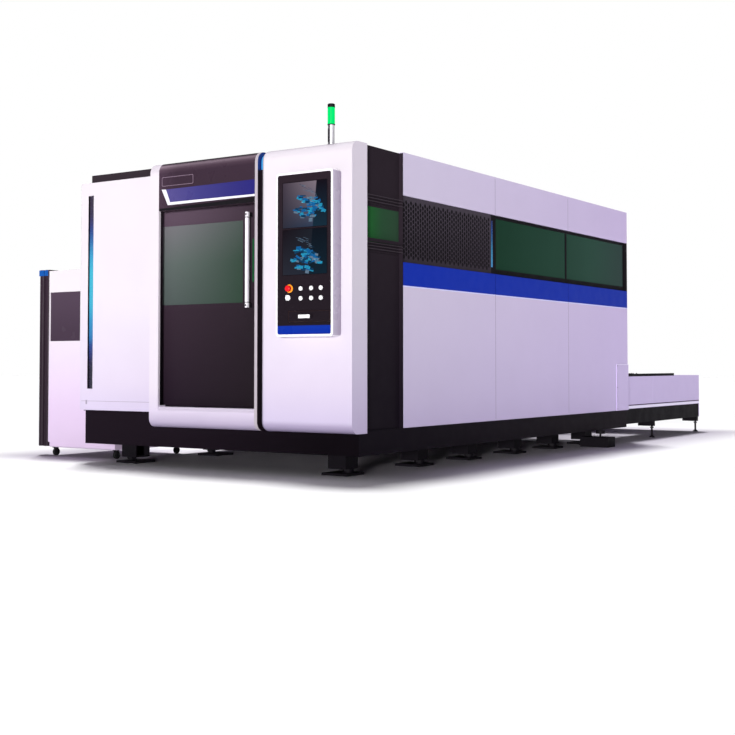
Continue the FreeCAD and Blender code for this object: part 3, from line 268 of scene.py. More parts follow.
def front_cover_look():
    """White covers with painted shade at the foot, the top rounding and the flanks; the right one's
    inner rim has painted shade and, at its top, a painted blue glow of the light strip.
    """
    look = Look("front_white", IOR=1.3, Emission_Strength=1.0)
    tone = look.by_height(front, COVER_TONES)
    flank = look.by_height(side, COVER_FLANK_TONES)
    right_cover = look.past("x", RIGHT_COVER)
    rim = look.both(look.fall("x", *RIM), right_cover)
    tone = look.mix(rim, tone, look.times(tone, RIM_SHADE))
    finish_paint(look, look.mix(look.turned(), tone, flank))
    shine = look.both(look.rise("z", *ARC_FOOT), look.fall("x", *RIM_SHINE), right_cover)
    look.feed("Emission Color", look.mix(shine, BLACK, rgb(*RIM_GLOW)))
    return look


PANEL_NEAR_TONES = (
    (300, 186, 174, 207), (620, 190, 180, 208), (1300, 196, 187, 210), (2250, 200, 191, 215))
PANEL_FAR_TONES = ((170, 190, 176, 214), (620, 190, 176, 214), (2250, 191, 176, 212))
SIDE_DEPTH = (600, 4800)    # y range over which the painted light and shade of the long side drift
BAND_FOOT = 1316
BAND_EDGE = 7


def side_panel_look(name, banded=False):
    """Lilac white with painted shade that deepens to the rear and the floor; the lower panels end
    in the blue band.
    """
    look = Look(name, IOR=1.2)
    near = look.by_height(side, PANEL_NEAR_TONES)
    far = look.by_height(side, PANEL_FAR_TONES)
    tone = look.mix(look.reach("y", *SIDE_DEPTH), near, far)
    if banded:
        blue = look.mix(look.reach("y", *SIDE_DEPTH), side(8, 42, 159), side(20, 45, 152))
        tone = look.mix(look.past("z", BAND_FOOT - BAND_EDGE), tone, side(206, 206, 246))
        tone = look.mix(look.past("z", BAND_FOOT), tone, blue)
    return finish_paint(look, tone, rough=0.46)


SURROUND_TONES = (
    (300, 186, 172, 206), (420, 238, 226, 250), (600, 250, 240, 254), (2150, 254, 246, 255),
    (2250, 236, 226, 240))
REVEAL_TURN = (0.4, 0.6)    # how far a face of a reveal turns before it counts as a flank
POST, CHANNEL = -823.5, -800    # x of the right post's front and of its flank


def surround_look():
    """White door frame with painted shade at its foot and top; the right post's front has painted
    shade, and its flank in the channel is painted near black as shade and takes a painted blue glow
    of the light strip above.
    """
    look = Look("surround_white", IOR=1.3, Emission_Strength=1.0)
    tone = look.by_height(front, SURROUND_TONES)
    tone = look.mix(look.past("x", POST), tone, front(206, 196, 206))
    flank = look.both(look.turned(*REVEAL_TURN), look.past("x", CHANNEL))
    finish_paint(look, look.mix(flank, tone, side(26, 18, 26)))
    glow = look.both(flank, look.rise("z", *ARC_FOOT))
    look.feed("Emission Color", look.mix(glow, BLACK, rgb(*POST_GLOW)))
    return look


WALL_TONES = ((500, 20, 13, 19), (1600, 33, 25, 34))
CREST_FOOT, CREST_END, REVEAL_END = 2120, -1820, -1500


def wall_look():
    """Black wall behind the door and in the channel, with painted shade darker towards the floor;
    its left reveal and crest get painted light.
    """
    look = Look("wall_black", IOR=1.1)
    tone = look.by_height(front, WALL_TONES)
    crest = look.both(look.past("z", CREST_FOOT), look.before("x", CREST_END))
    tone = look.mix(crest, tone, front(60, 51, 58))
    reveal = look.both(look.turned(*REVEAL_TURN), look.before("x", REVEAL_END))
    return finish_paint(look, look.mix(reveal, tone, side(85, 75, 86)), rough=0.5, mottle=0.02)


PLINTH_WIDTH = (-1600, -300)


def plinth_look():
    """Black skirt with painted light and shade: the front darkens to its right, the side is toned
    apart from the front and lightens towards the rear.
    """
    look = Look("plinth_black", IOR=1.08)
    flank = look.mix(look.reach("y", *SIDE_DEPTH), side(21, 17, 24), side(30, 26, 31))
    ahead = look.mix(look.reach("x", *PLINTH_WIDTH), front(31, 23, 32), front(17, 12, 18))
    return finish_paint(look, look.mix(look.turned(), ahead, flank), rough=0.5, mottle=0.02)


HANDLE_FEET = 52    # y behind which the handle's feet begin


def handle_look():
    """White bar of the handle; its feet are painted black as painted shade."""
    look = Look("handle_white", IOR=1.3)
    tone = look.mix(look.past("y", HANDLE_FEET), (0.74, 0.71, 0.77), (0.01, 0.008, 0.011))
    return finish_paint(look, tone, rough=0.3)


def post_look():
    """Ground metal tube of the signal tower, with painted shade on the left and painted light on
    the right.
    """
    look = Look("tower_silver", Metallic=0.35)
    lines = look.noise(scale=40.0, detail=4.0, stretch=(20, 20, 1))
    bright = look.span(look.facing_x, 0.0, 0.5, smooth=True)
    shade = look.mix(bright, (0.10, 0.095, 0.11), (0.66, 0.65, 0.69))
    look.feed("Base Color", look.mix(look.spread(lines), look.mix(0.2, shade, BLACK), shade))
    look.feed("Roughness", look.spread(lines, 0.34, 0.46))
    look.bump(lines, strength=0.15, distance=0.0002)
    return look


DOOR_LEFT_TONES = ((450, 38, 27, 40), (1150, 60, 46, 58), (1600, 90, 72, 88), (1960, 110, 91, 108))
DOOR_RIGHT_TONES = ((450, 33, 25, 32), (1150, 44, 35, 43), (1960, 70, 56, 68))
DOOR_WIDTH, PANE_WIDTH = (-1780, -900), (-1778, -1010)


def door_look():
    """Black leaf with a painted reflection of the room: lighter at the top left, near black at the
    foot.
    """
    look = Look("door_black", IOR=1.14)
    left, right = look.by_height(front, DOOR_LEFT_TONES), look.by_height(front, DOOR_RIGHT_TONES)
    tone = look.mix(look.reach("x", *DOOR_WIDTH), left, right)
    return finish_paint(look, tone, rough=0.40, mottle=0.02)


def finish_pane(look, tone, patch, depth, shade):
    """Safety glass over a tone, with patches of haze of a size and a depth."""
    haze = look.spread(look.noise(scale=patch, detail=1.0), middle=HAZE_MIDDLE)
    look.feed("Base Color", look.mix(haze, tone, look.mix(depth, tone, shade, "SOFT_LIGHT")))
    look.feed("Roughness", look.spread(look.noise(scale=40.0, detail=3.0), 0.10, 0.16))
    return look


PANE_LEFT_TONES = ((1190, 88, 98, 97), (1500, 106, 116, 114), (1790, 130, 127, 134))
PANE_RIGHT_TONES = ((1190, 54, 74, 62), (1500, 59, 78, 67), (1790, 82, 93, 89))


def door_pane_look():
    """Green safety pane: dense body with a painted grey reflection that fades to the right and
    down.
    """
    look = Look("door_pane", IOR=1.16, Transmission_Weight=0.04)
    left, right = look.by_height(front, PANE_LEFT_TONES), look.by_height(front, PANE_RIGHT_TONES)
    tone = look.mix(look.reach("x", *PANE_WIDTH), left, right)
    return finish_pane(look, tone, patch=1.6, depth=0.06, shade=(0.75, 0.9, 0.8))


SIDE_PANE_STOPS = (
    (0.0, 28, 90, 40), (0.045, 40, 71, 49), (0.097, 44, 66, 51), (0.14, 40, 64, 49),
    (0.42, 27, 55, 42), (0.66, 37, 64, 53), (0.8, 44, 71, 61), (1.0, 50, 66, 64))
SIDE_PANE_DEPTH = (200, 4800)


def side_pane_look():
    """Green panes of the band and of the section behind the front covers, with a painted reflection
    and shade of the room that changes from front to rear.
    """
    look = Look("side_pane", IOR=1.1, Transmission_Weight=0.04)
    tone = look.ramp(look.reach("y", *SIDE_PANE_DEPTH), side, SIDE_PANE_STOPS)
    return finish_pane(look, tone, patch=1.1, depth=0.10, shade=(0.7, 0.9, 0.8))


# painted highlight: the tones brighten on the rounded top, then darken at its crest
HEADER_TONES = (
    (1890, 64, 49, 61), (2165, 66, 50, 64), (2190, 82, 64, 78), (2203, 102, 84, 98),
    (2221, 136, 118, 131), (2230, 96, 80, 92), (2237, 50, 38, 48), (2243, 26, 18, 24),
    (2250, 20, 14, 19))
SHEEN, SHEEN_WIDTH = (1.5, 1.5, 1.5), (-1735, -1560)


def header_look():
    """Gloss header: a painted highlight along its rounded top and a painted sheen at its left end.
    """
    look = Look("header_black", IOR=1.16)
    tone = look.by_height(front, HEADER_TONES)
    tone = look.mix(look.reach("x", *SHEEN_WIDTH), look.times(tone, SHEEN), tone)
    return finish_paint(look, tone, rough=0.3, peel=0.03, mottle=0.0)


BLUE_FIELD_STOPS = (
    (0.0, 94, 86, 150), (0.38, 72, 68, 139), (0.68, 60, 57, 131), (1.0, 48, 45, 128))
BLUE_FIELD_WIDTH = (-1660, -830)


def blue_field_look():
    """Blue field of the header, washed out towards its left end by a painted sheen."""
    look = Look("blue_field", IOR=1.16)
    tone = look.ramp(look.reach("x", *BLUE_FIELD_WIDTH), front, BLUE_FIELD_STOPS)
    return finish_paint(look, tone, rough=0.3, peel=0.04, mottle=0.0)


def housing_look():
    """Console housing: white front edge, shaded lilac flanks."""
    look = Look("console_white", IOR=1.4)
    flank = look.mix(look.reach("y", FACE, 0), side(176, 168, 187), side(139, 128, 148))
    tone = look.mix(look.turned(), (0.74, 0.71, 0.76), flank)
    return finish_paint(look, tone, rough=0.28, peel=0.03)


def metal(name, colour, rough, stretch, grain=60.0, metallic=1.0):
    """Ground or turned metal with its grain along one axis."""
    look = Look(name, Metallic=metallic)
    lines = look.noise(grain, detail=4.0, stretch=stretch)
    darker = tuple(c * 0.82 for c in colour)
    look.feed("Base Color", look.mix(look.spread(lines), darker, colour))
    look.feed("Roughness", look.spread(lines, rough - 0.06, rough + 0.08))
    look.bump(lines, strength=0.15, distance=0.0002)
    return look


def plastic(name, colour, rough=0.4, ior=1.35, grain=900.0, strength=0.1):
    """Moulded plastic with a fine spark-eroded grain."""
    look = Look(name, IOR=ior)
    cells = look.noise(grain, detail=2.0)
    darker = tuple(c * 0.9 for c in colour)
    look.feed("Base Color", look.mix(look.spread(look.noise(scale=14.0)), darker, colour))
    look.feed("Roughness", look.spread(cells, rough - 0.04, rough + 0.05))
    look.bump(cells, strength, distance=0.0002)
    return look


LED_TONES = (
    (574, 24, 12, 28), (720, 24, 16, 32), (780, 28, 20, 58), (845, 32, 44, 108), (908, 32, 66, 136),
    (970, 40, 120, 180), (1100, 48, 148, 200), (1220, 62, 182, 214), (1470, 64, 190, 218),
    (1600, 58, 162, 208), (1720, 48, 108, 170), (1790, 40, 74, 142), (1850, 54, 56, 114),
    (1910, 54, 46, 78), (2000, 56, 42, 60), (2073, 54, 40, 58))
SIDE_LED_TONES = (
    (1535, 62, 132, 186), (1609, 56, 132, 176), (1683, 42, 116, 156), (1757, 28, 84, 132),
    (1831, 24, 62, 124), (1905, 22, 36, 86))
ARC_LED_STOPS = ((0.0, 36, 160, 232), (0.35, 44, 172, 240), (1.0, 20, 110, 205))
ARC_DEPTH = (24, 160)
BAND_X, COVER_X = -300, -1500    # x between one strip and the next


def led_look():
    """One material for the three light strips: left cover, channel arc and window band."""
    look = Look("led_light", Base_Color=(0.01, 0.012, 0.02, 1.0), Emission_Strength=1.0)
    tall = look.by_height(rgb, LED_TONES)
    upright = look.by_height(rgb, SIDE_LED_TONES)
    arc = look.ramp(look.reach("y", *ARC_DEPTH), rgb, ARC_LED_STOPS)
    right_half = look.mix(look.past("x", BAND_X), arc, upright)
    look.feed("Emission Color", look.mix(look.past("x", COVER_X), tall, right_half))
    look.feed("Roughness", look.spread(look.noise(scale=150.0), 0.2, 0.32))
    return look


def lens_look():
    """Green signal lens with fine upright ribs."""
    look = Look("tower_lens", Emission_Strength=0.8, Specular_IOR_Level=0.05)
    lines = look.noise(scale=260.0, detail=1.0, stretch=(1, 1, 0.02))
    ribs = look.spread(lines, middle=HAZE_MIDDLE)
    look.feed("Base Color", look.mix(ribs, rgb(0, 84, 40), rgb(0, 104, 52)))
    look.feed("Emission Color", look.mix(ribs, rgb(0, 236, 112), rgb(0, 250, 126)))
    look.feed("Roughness", look.span(ribs, 0, 1, 0.2, 0.3))
    return look


DISPLAY_X, WASH_X = (-502, -135), (-502, -235)
WASH_END = (-221.0, 1980.0)    # a point (x, z) of the slanted line where the painted reflection ends
WASH_SLOPE = 0.1033
WASH_BLUR = 2


def screen_look(name, z0, z1, wash, dark):
    """Dark display glass: a painted pale reflection ends at a slanted line, the rest is deep blue.

    wash, the painted reflection, and dark are (low left, low right, top left, top right) and (low,
    top) colours.
    """
    look = Look(name, Base_Color=(0.002, 0.002, 0.003, 1.0), Emission_Strength=1.0, IOR=1.12)
    up = look.reach("z", z0, z1)
    reach = look.reach("x", *WASH_X)
    low_left, low_right, top_left, top_right = (rgb(*colour) for colour in wash)
    low, top = look.mix(reach, low_left, low_right), look.mix(reach, top_left, top_right)
    washed = look.mix(up, low, top)
    deep = look.mix(up, rgb(*dark[0]), rgb(*dark[1]))
    x, z = look.axes["x"][0], look.axes["z"][0]
    lean = look.math("ADD", x, look.math("MULTIPLY", z, -WASH_SLOPE))
    limit = SIDE_X + (WASH_END[0] - WASH_SLOPE * WASH_END[1]) * MM
    right = look.span(lean, limit - WASH_BLUR * MM, limit + WASH_BLUR * MM)
    look.feed("Emission Color", look.mix(right, washed, deep))
    look.feed("Roughness", look.spread(look.noise(scale=30.0), 0.1, 0.16))
    return look


def lit_look(name, colour, strength=1.0):
    """Lit surface with a slightly uneven glow."""
    look = Look(name, Base_Color=(0.002, 0.004, 0.008, 1.0), Emission_Strength=strength, IOR=1.12)
    dimmer = tuple(c * 0.6 for c in colour)
    look.feed("Emission Color", look.mix(look.spread(look.noise(scale=70.0)), dimmer, colour))
    look.feed("Roughness", look.spread(look.noise(scale=200.0), 0.2, 0.3))
    return look


front_white = front_cover_look()
surround_white = surround_look()
side_white = side_panel_look("side_white")
lower_side = side_panel_look("lower_side_white", banded=True)
# painted shade: the low tone of each powder coat from painted() darkens it towards the floor
cabinet_white = painted("cabinet_white", front(255, 248, 255), front(245, 222, 255), z=(300, 1300))
black_paint = painted("black_paint", side(40, 33, 40), side(22, 17, 25), z=(300, 2100), ior=1.1,
    rough=0.5, mottle=0.02)
plinth_black = plinth_look()
door_black = door_look()
gloss_black = header_look()
post_black = painted("post_black", front(58, 44, 56), front(50, 38, 49), z=(200, 1500), ior=1.12,
    rough=0.35, mottle=0.02)
wall_black = wall_look()
dark_steel = painted("dark_steel", (0.006, 0.005, 0.007), (0.005, 0.004, 0.006),
                     ior=1.15, rough=0.55)
door_pane = door_pane_look()
side_pane = side_pane_look()
console_black = painted("console_black", front(48, 38, 46), front(37, 30, 37), z=(1050, 2050),
    ior=1.12, rough=0.24, peel=0.02, mottle=0.0)
console_white = housing_look()
cap_white = plastic("cap_white", (0.80, 0.80, 0.82), 0.3)
estop_red = plastic("estop_red", rgb(214, 20, 30), 0.3)
collar_yellow = plastic("collar_yellow", rgb(236, 150, 40), 0.4)
black_plastic = plastic("black_plastic", (0.008, 0.007, 0.009), 0.5, ior=1.15)
handle_white = handle_look()
tower_silver = post_look()
beam_silver = metal("beam_silver", (0.60, 0.60, 0.63), 0.38, (1, 20, 20))
rail_metal = metal("rail_metal", (0.50, 0.50, 0.53), 0.25, (20, 1, 20))
slat_steel = metal("slat_steel", (0.055, 0.05, 0.055), 0.5, (1, 20, 12), grain=30.0, metallic=0.6)
brass = metal("brass", (0.70, 0.44, 0.18), 0.25, (1, 1, 20))
source_grey = painted("source_grey", (0.16, 0.17, 0.20), (0.14, 0.15, 0.18))
rubber = plastic("rubber", (0.012, 0.012, 0.013), 0.65, ior=1.15, grain=500.0, strength=0.25)
bolt_steel = metal("bolt_steel", (0.05, 0.05, 0.055), 0.4, (8, 8, 1), metallic=0.9)
grille_grey = painted("grille_grey", side(62, 56, 65), side(48, 42, 50), z=(1480, 1950), ior=1.15,
    rough=0.5, mottle=0.0)
gasket_grey = painted("gasket_grey", side(150, 140, 168), side(146, 136, 164), ior=1.2, rough=0.6)
edge_highlight = painted("edge_highlight", side(232, 228, 246), side(226, 220, 242), ior=1.2, rough=0.5)
edge_shade = painted("edge_shade", side(128, 118, 142), side(122, 112, 136), ior=1.2, rough=0.5)
gasket_blue = painted("gasket_blue", side(24, 36, 112), side(24, 36, 112), ior=1.1, rough=0.6)
louvre_highlight = painted("louvre_highlight", side(66, 60, 67), side(60, 54, 62), ior=1.15, rough=0.5)
groove_shade = painted("groove_shade", side(74, 64, 80), side(70, 60, 76), ior=1.15, rough=0.6)
seam_dark = painted("seam_dark", (0.30, 0.27, 0.34), (0.28, 0.25, 0.32))
trim_white = painted("trim_white", (0.66, 0.65, 0.70), (0.66, 0.65, 0.70), rough=0.35)
nameplate_grey = painted("nameplate_grey", front(150, 128, 148), front(140, 118, 138), rough=0.35)
blue_field = blue_field_look()
blue_strip = painted("blue_strip", front(18, 56, 176), front(13, 48, 166), z=(960, 1030), ior=1.14,
    rough=0.3, mottle=0.02)
screen_edge = plastic("screen_edge", front(24, 17, 24), 0.3, ior=1.12)
drawer_line = plastic("drawer_line", front(66, 46, 44), 0.4, ior=1.12)
estop_dark = plastic("estop_dark", rgb(130, 8, 16), 0.35)
cabinet_pane = painted("cabinet_pane", front(88, 72, 89), front(76, 61, 77), z=(955, 1367),
    ior=1.14, rough=0.22, mottle=0.0)
# painted glow of the curved light strip, worn by the strip in the channel
glow_blue = lit_look("glow_blue", rgb(22, 26, 110))
post_blue = lit_look("post_blue", rgb(30, 110, 215), strength=0.9)
# painted green glow on the door pane beside the post
edge_green = lit_look("edge_green", rgb(20, 104, 50), strength=0.9)


# ---- mesh helpers
def link(piece):
    bpy.context.scene.collection.objects.link(piece)


def put(name, bm, looks, body):
    """Turns a bmesh into a piece that rides on a body."""
    bmesh.ops.recalc_face_normals(bm, faces=bm.faces)
    mesh = bpy.data.meshes.new(name)
    bm.to_mesh(mesh)
    bm.free()
    for look in looks if isinstance(looks, list) else [looks]:
        mesh.materials.append(look.mat)
    piece = bpy.data.objects.new(name, mesh)
    link(piece)
    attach(piece, body)


def block(bm, x, y, z, bevel):
    """Block between limits along each axis, with rounded edges."""
    low, high = at(x[0], y[0], z[0]), at(x[1], y[1], z[1])
    made = bmesh.ops.create_cube(bm, size=1.0)["verts"]
    for v in made:
        v.co = Vector([low[i] + (v.co[i] + 0.5) * (high[i] - low[i]) for i in range(3)])
    edges = list({e for v in made for e in v.link_edges})
    bmesh.ops.bevel(bm, geom=edges, offset=bevel * MM, segments=2, affect="EDGES", profile=0.5)


def prism(bm, outline, y0, y1, material=0):
    """Plate parallel to the front, from (x, z) points, between two depths."""
    rings = [[bm.verts.new(at(x, y, z)) for x, z in outline] for y in (y0, y1)]
    count = len(outline)
    faces = [bm.faces.new(rings[0]), bm.faces.new(list(reversed(rings[1])))]
    for i in range(count):
        j = (i + 1) % count
        faces.append(bm.faces.new((rings[0][i], rings[1][i], rings[1][j], rings[0][j])))
    for face in faces:
        face.material_index = material


CORNER_STEPS = 5
CORNER_POINTS = CORNER_STEPS + 1


def grown(rect, by):
    """Rectangle (x0, x1, z0, z1) moved out on every side, or in by a negative amount."""
    x0, x1, z0, z1 = rect
    return x0 - by, x1 + by, z0 - by, z1 + by


def rounded(rect, radius):
    """Outline of a rectangle with rounded corners, from the top right one anticlockwise."""
    x0, x1, z0, z1 = grown(rect, -radius)
    points = []
    for cx, cz, start in ((x1, z1, 0), (x0, z1, 90), (x0, z0, 180), (x1, z0, 270)):
        for k in range(CORNER_POINTS):
            a = math.radians(start + 90 * k / CORNER_STEPS)
            points.append((cx + radius * math.cos(a), cz + radius * math.sin(a)))
    return points


AXES = {"x": (Vector((0, 1, 0)), Vector((0, 0, 1)), Vector((1, 0, 0))),
        "y": (Vector((0, 0, 1)), Vector((1, 0, 0)), Vector((0, 1, 0))),
        "z": (Vector((1, 0, 0)), Vector((0, 1, 0)), Vector((0, 0, 1)))}


def lathe(bm, center, axis, profile, steps, turn=0.0, closed=False):
    """Turned form: (radius, height) points about an axis through a point; closed makes a ring."""
    u, v, w = AXES[axis]
    origin = at(*center)
    loops = []
    for radius, height in profile:
        loop = []
        for k in range(steps):
            a = 2 * math.pi * k / steps + turn
            spoke = u * math.cos(a) + v * math.sin(a)
            loop.append(bm.verts.new(origin + spoke * radius * MM + w * height * MM))
        loops.append(loop)
    if closed:
        loops.append(loops[0])
    for a, b in zip(loops, loops[1:]):
        for k in range(steps):
            m = (k + 1) % steps
            bm.faces.new((a[k], a[m], b[m], b[k]))
    if not closed:
        bm.faces.new(list(reversed(loops[0])))
        bm.faces.new(loops[-1])


def profile_strip(bm, x0, x1, path, thick):
    """Strip across X that follows (y, z) points and stands proud of them by a thickness."""
    rows = []
    for i, (y, z) in enumerate(path):
        before = path[max(i - 1, 0)]
        after = path[min(i + 1, len(path) - 1)]
        dy, dz = after[0] - before[0], after[1] - before[1]
        size = math.hypot(dy, dz)
        ny, nz = -dz / size * thick, dy / size * thick
        section = (x0, y, z), (x1, y, z), (x1, y + ny, z + nz), (x0, y + ny, z + nz)
        rows.append([bm.verts.new(at(*point)) for point in section])
    for a, b in zip(rows, rows[1:]):
        for k in range(4):
            m = (k + 1) % 4
            bm.faces.new((a[k], a[m], b[m], b[k]))
    bm.faces.new(rows[0])
    bm.faces.new(list(reversed(rows[-1])))


def put_blocks(name, boxes, look, body, bevel=0.1):
    """Piece of blocks, each given by its limits along x, y and z."""
    bm = bmesh.new()
    for box in boxes:
        block(bm, *box, bevel)
    put(name, bm, look, body)


def put_plate(name, outline, depth, look, body):
    """Piece of one plate parallel to the front."""
    bm = bmesh.new()
    prism(bm, outline, *depth)
    put(name, bm, look, body)


def put_ring(name, outer, inner, depth, look, body):
    """Piece of a flat frame between two outlines with the same number of points."""
    bm = bmesh.new()
    loops = [[bm.verts.new(at(x, y, z)) for x, z in outline]
             for outline in (outer, inner) for y in depth]
    count = len(outer)
    for a, b in ((0, 2), (1, 3), (0, 1), (2, 3)):
        for i in range(count):
            j = (i + 1) % count
            bm.faces.new((loops[a][i], loops[a][j], loops[b][j], loops[b][i]))
    put(name, bm, look, body)


# ---- finishes of the CAD nodes
FINISH = (
    (dark_steel, "bed_frame", "levelling_feet", "cabin_frame", "band_frame", "table_frame",
     "floor_box"),
    (plinth_black, "plinth_skirt"),
    (side_white, "right_upper_panels", "left_side_panels", "roof_panels", "rear_wall",
     "rear_hatch", "table_covers"),
    (lower_side, "right_lower_panels"),
    (grille_grey, "grille_panel"),
    (side_pane, "side_windows"),
    (black_paint, "transition_cover"),
    (wall_black, "front_wall"),
    (front_white, "front_right_cover", "front_left_cover"),
    (gloss_black, "door_header"),
    (surround_white, "door_surround"),
    (door_black, "door_leaf"),
    (door_pane, "door_window"),
    (handle_white, "door_handle"),
    (console_white, "console_housing"),
    (console_black, "console_glass", "keyboard_drawer"),
    (collar_yellow, "estop_collar"),
    (estop_red, "estop_button"),
    (cap_white, "selector_knob", *("console_button_%d" % n for n in range(1, 7))),
    (tower_silver, "tower_light_post"),
    (black_plastic, "tower_light_cap", "cutting_head",
     *("caster_fork_%d" % n for n in range(1, 5))),
    (rubber, *("caster_wheel_%d" % n for n in range(1, 5))),
    (rail_metal, "gantry_rails"),
    (beam_silver, "gantry_beam", "carriage"),
    (brass, "cutting_nozzle"),
    (slat_steel, "upper_pallet", "lower_pallet"),
    (cabinet_white, "cabinet_body", "cabinet_door"),
    (post_black, "cabinet_post"),
    (source_grey, "laser_source"),
    (led_look(), "led_strips"),
    (lens_look(), "tower_light_lens"),
)
for look, *nodes in FINISH:
    for node in nodes:
        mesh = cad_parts[node].data
        mesh.materials.clear()
        mesh.materials.append(look.mat)


# ---- header and door
NAMEPLATE = (-1700, -1394, 2072, 2140)
BLUE_FIELD = ((-1660, 2048), (-823, 2054), (-823, 1951), (-1618, 1951))
WHITE_LINE = ((-1702, 2050), (-1660, 2048), (-1618, 1951), (-823, 1951), (-823, 1937),
              (-1640, 1931))
# painted shadow: black wedge along the header's lower edge
HEADER_SHADOW_WEDGE = ((-1729, 1894), (-1729, 1909), (-823, 1930), (-823, 1894))
NAMEPLATE_DEPTH, FIELD_DEPTH = (-1.4, 0.4), (-0.6, 0.4)
LINE_DEPTH, SHADOW_WEDGE_DEPTH = (-1.0, 0.4), (-0.8, 0.4)


def header_trim():
    """Bare nameplate outline, blue field with a slanted end, white line and a dark wedge below as
    painted shadow along the header's lower edge.
    """
    put_ring("header_nameplate_outline", rounded(NAMEPLATE, 8), rounded(grown(NAMEPLATE, -4), 5),
             NAMEPLATE_DEPTH, nameplate_grey, "root")
    put_plate("header_blue_field", BLUE_FIELD, FIELD_DEPTH, blue_field, "root")
    put_plate("header_white_line", WHITE_LINE, LINE_DEPTH, trim_white, "root")
    put_plate("header_shadow_wedge", HEADER_SHADOW_WEDGE, SHADOW_WEDGE_DEPTH, black_plastic, "root")


HANDLE_SCREW = ((7, 0.3), (7, -0.9), (5.8, -1.6), (3.4, -1.6), (3.2, -0.2), (0.4, -0.2))
SCREW_INSET = 16
CLAMP_WIDTH, CLAMP_DEPTH, CLAMP_SKIN = 6, 24, 1.2
CLAMP_LOW, CLAMP_HIGH = 34, -40    # from the handle's foot and top
BEAD_OUT, BEAD_IN, BEAD_DEPTH = 5, -4, (88.6, 92.4)
# painted glow: a green lit strip on the pane beside the post
PANE_EDGE_GLOW = ((-913, -901), (87.6, 90.4), (1345, 1650))


def door_trim():
    """Window bead, handle clamps and screws, and a painted green glow on the strip of pane beside
    the post.
    """
    (x0, _, z0), (x1, _, z1) = corners(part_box("door_window"))
    window = (x0, x1, z0, z1)
    put_ring("door_window_bead", rounded(grown(window, BEAD_OUT), 4),
             rounded(grown(window, BEAD_IN), 3), BEAD_DEPTH, door_black, "door")
    (x0, y0, z0), (x1, _, z1) = corners(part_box("door_handle"))
    width, depth = (x0 - CLAMP_SKIN, x1 + CLAMP_SKIN), (y0 - 1, y0 + CLAMP_DEPTH)
    clamps = [(width, depth, (z, z + CLAMP_WIDTH)) for z in (z0 + CLAMP_LOW, z1 + CLAMP_HIGH)]
    put_blocks("door_handle_clamps", clamps, bolt_steel, "door", bevel=1.5)
    bm = bmesh.new()
    for z in (z0 + SCREW_INSET, z1 - SCREW_INSET):
        lathe(bm, ((x0 + x1) / 2, y0, z), "y", HANDLE_SCREW, steps=24)
    put("door_handle_screws", bm, bolt_steel, "door")
    put_blocks("door_pane_edge_glow", [PANE_EDGE_GLOW], edge_green, "door", bevel=0.8)


# ---- console
DEEP, BLUE, CYAN, PALE, BRIGHT = range(5)
SHARD_COLOURS = (
    ("deep", (10, 62, 96)), ("blue", (16, 104, 168)), ("cyan", (40, 158, 200)),
    ("pale", (104, 128, 150)), ("bright", (120, 214, 244)))
# (start, end, half height, number of tiles), from the middle of the cluster
BANDS = (
    ((-92, 66), (70, 40), 20, 24), ((-30, 34), (96, 8), 18, 22), ((-126, -10), (40, -14), 20, 24),
    ((-84, -44), (46, -64), 14, 14), ((40, 4), (118, -30), 14, 10))
BAND_TONES = (DEEP, DEEP, BLUE, BLUE, CYAN, CYAN, PALE)
PALE_TILES = ((62, 0, 17, 15), (-62, -58, 16, 11), (6, -84, 15, 12))
SPARKS = 9
STREAKS = 16
STREAK_START, STREAK_STEP = (-60, 150), (7, -4.5)
# least and most of half widths and heights, mean and spread of the rest
TILE_W, TILE_H, TILE_TILT, PALE_TILT = (8, 24), (3.5, 9.5), (-6, 9), (-8, 3)
SPARK_X, SPARK_Z, SPARK_W, SPARK_TILT = (10, 42), (18, 30), (4, 11), (-6, 8)
STREAK_W, STREAK_TILT = (10, 26), (-24, 3)
SPARK_H, STREAK_H = 1.6, 0.8


def shards(name, x_mid, z_mid, seed):
    """Abstract cluster of glowing tiles, sparks and thin streaks shown on a display."""
    draw = random.Random(seed)
    tones = [lit_look(name + "_" + tone, rgb(*colour)) for tone, colour in SHARD_COLOURS]
    bm = bmesh.new()

    def tile(cx, cz, w, h, degrees, tone):
        """Slightly tapered tile of a half width and a half height, tilted about its middle."""
        tilt = math.radians(degrees)
        c, s = math.cos(tilt), math.sin(tilt)
        outline = [(x_mid + cx + u * c - v * s, z_mid + cz + u * s + v * c)
                   for u, v in ((-w, -h), (w, -h), (w * 1.04, h), (-w * 0.96, h))]
        prism(bm, outline, FACE - 1.0 - draw.random() * 0.4, FACE - 0.2, tone)

    for start, end, half, count in BANDS:
        for k in range(count):
            t = (k + draw.random()) / count
            cx = start[0] + (end[0] - start[0]) * t
            cz = start[1] + (end[1] - start[1]) * t + draw.gauss(0, half * 0.6)
            size = draw.uniform(*TILE_W), draw.uniform(*TILE_H)
            tile(cx, cz, *size, draw.gauss(*TILE_TILT), draw.choice(BAND_TONES))
    for cx, cz, w, h in PALE_TILES:
        tile(cx, cz, w, h, draw.gauss(*PALE_TILT), PALE)
    for _ in range(SPARKS):
        tile(draw.gauss(*SPARK_X), draw.gauss(*SPARK_Z), draw.uniform(*SPARK_W), SPARK_H,
             draw.gauss(*SPARK_TILT), BRIGHT)
    for k in range(STREAKS):
        cx = STREAK_START[0] + STREAK_STEP[0] * k + draw.gauss(0, 6)
        cz = STREAK_START[1] + STREAK_STEP[1] * k + draw.gauss(0, 12)
        tile(cx, cz, draw.uniform(*STREAK_W), STREAK_H, draw.gauss(*STREAK_TILT),
             draw.choice((DEEP, PALE, PALE)))
    put(name, bm, tones, "root")


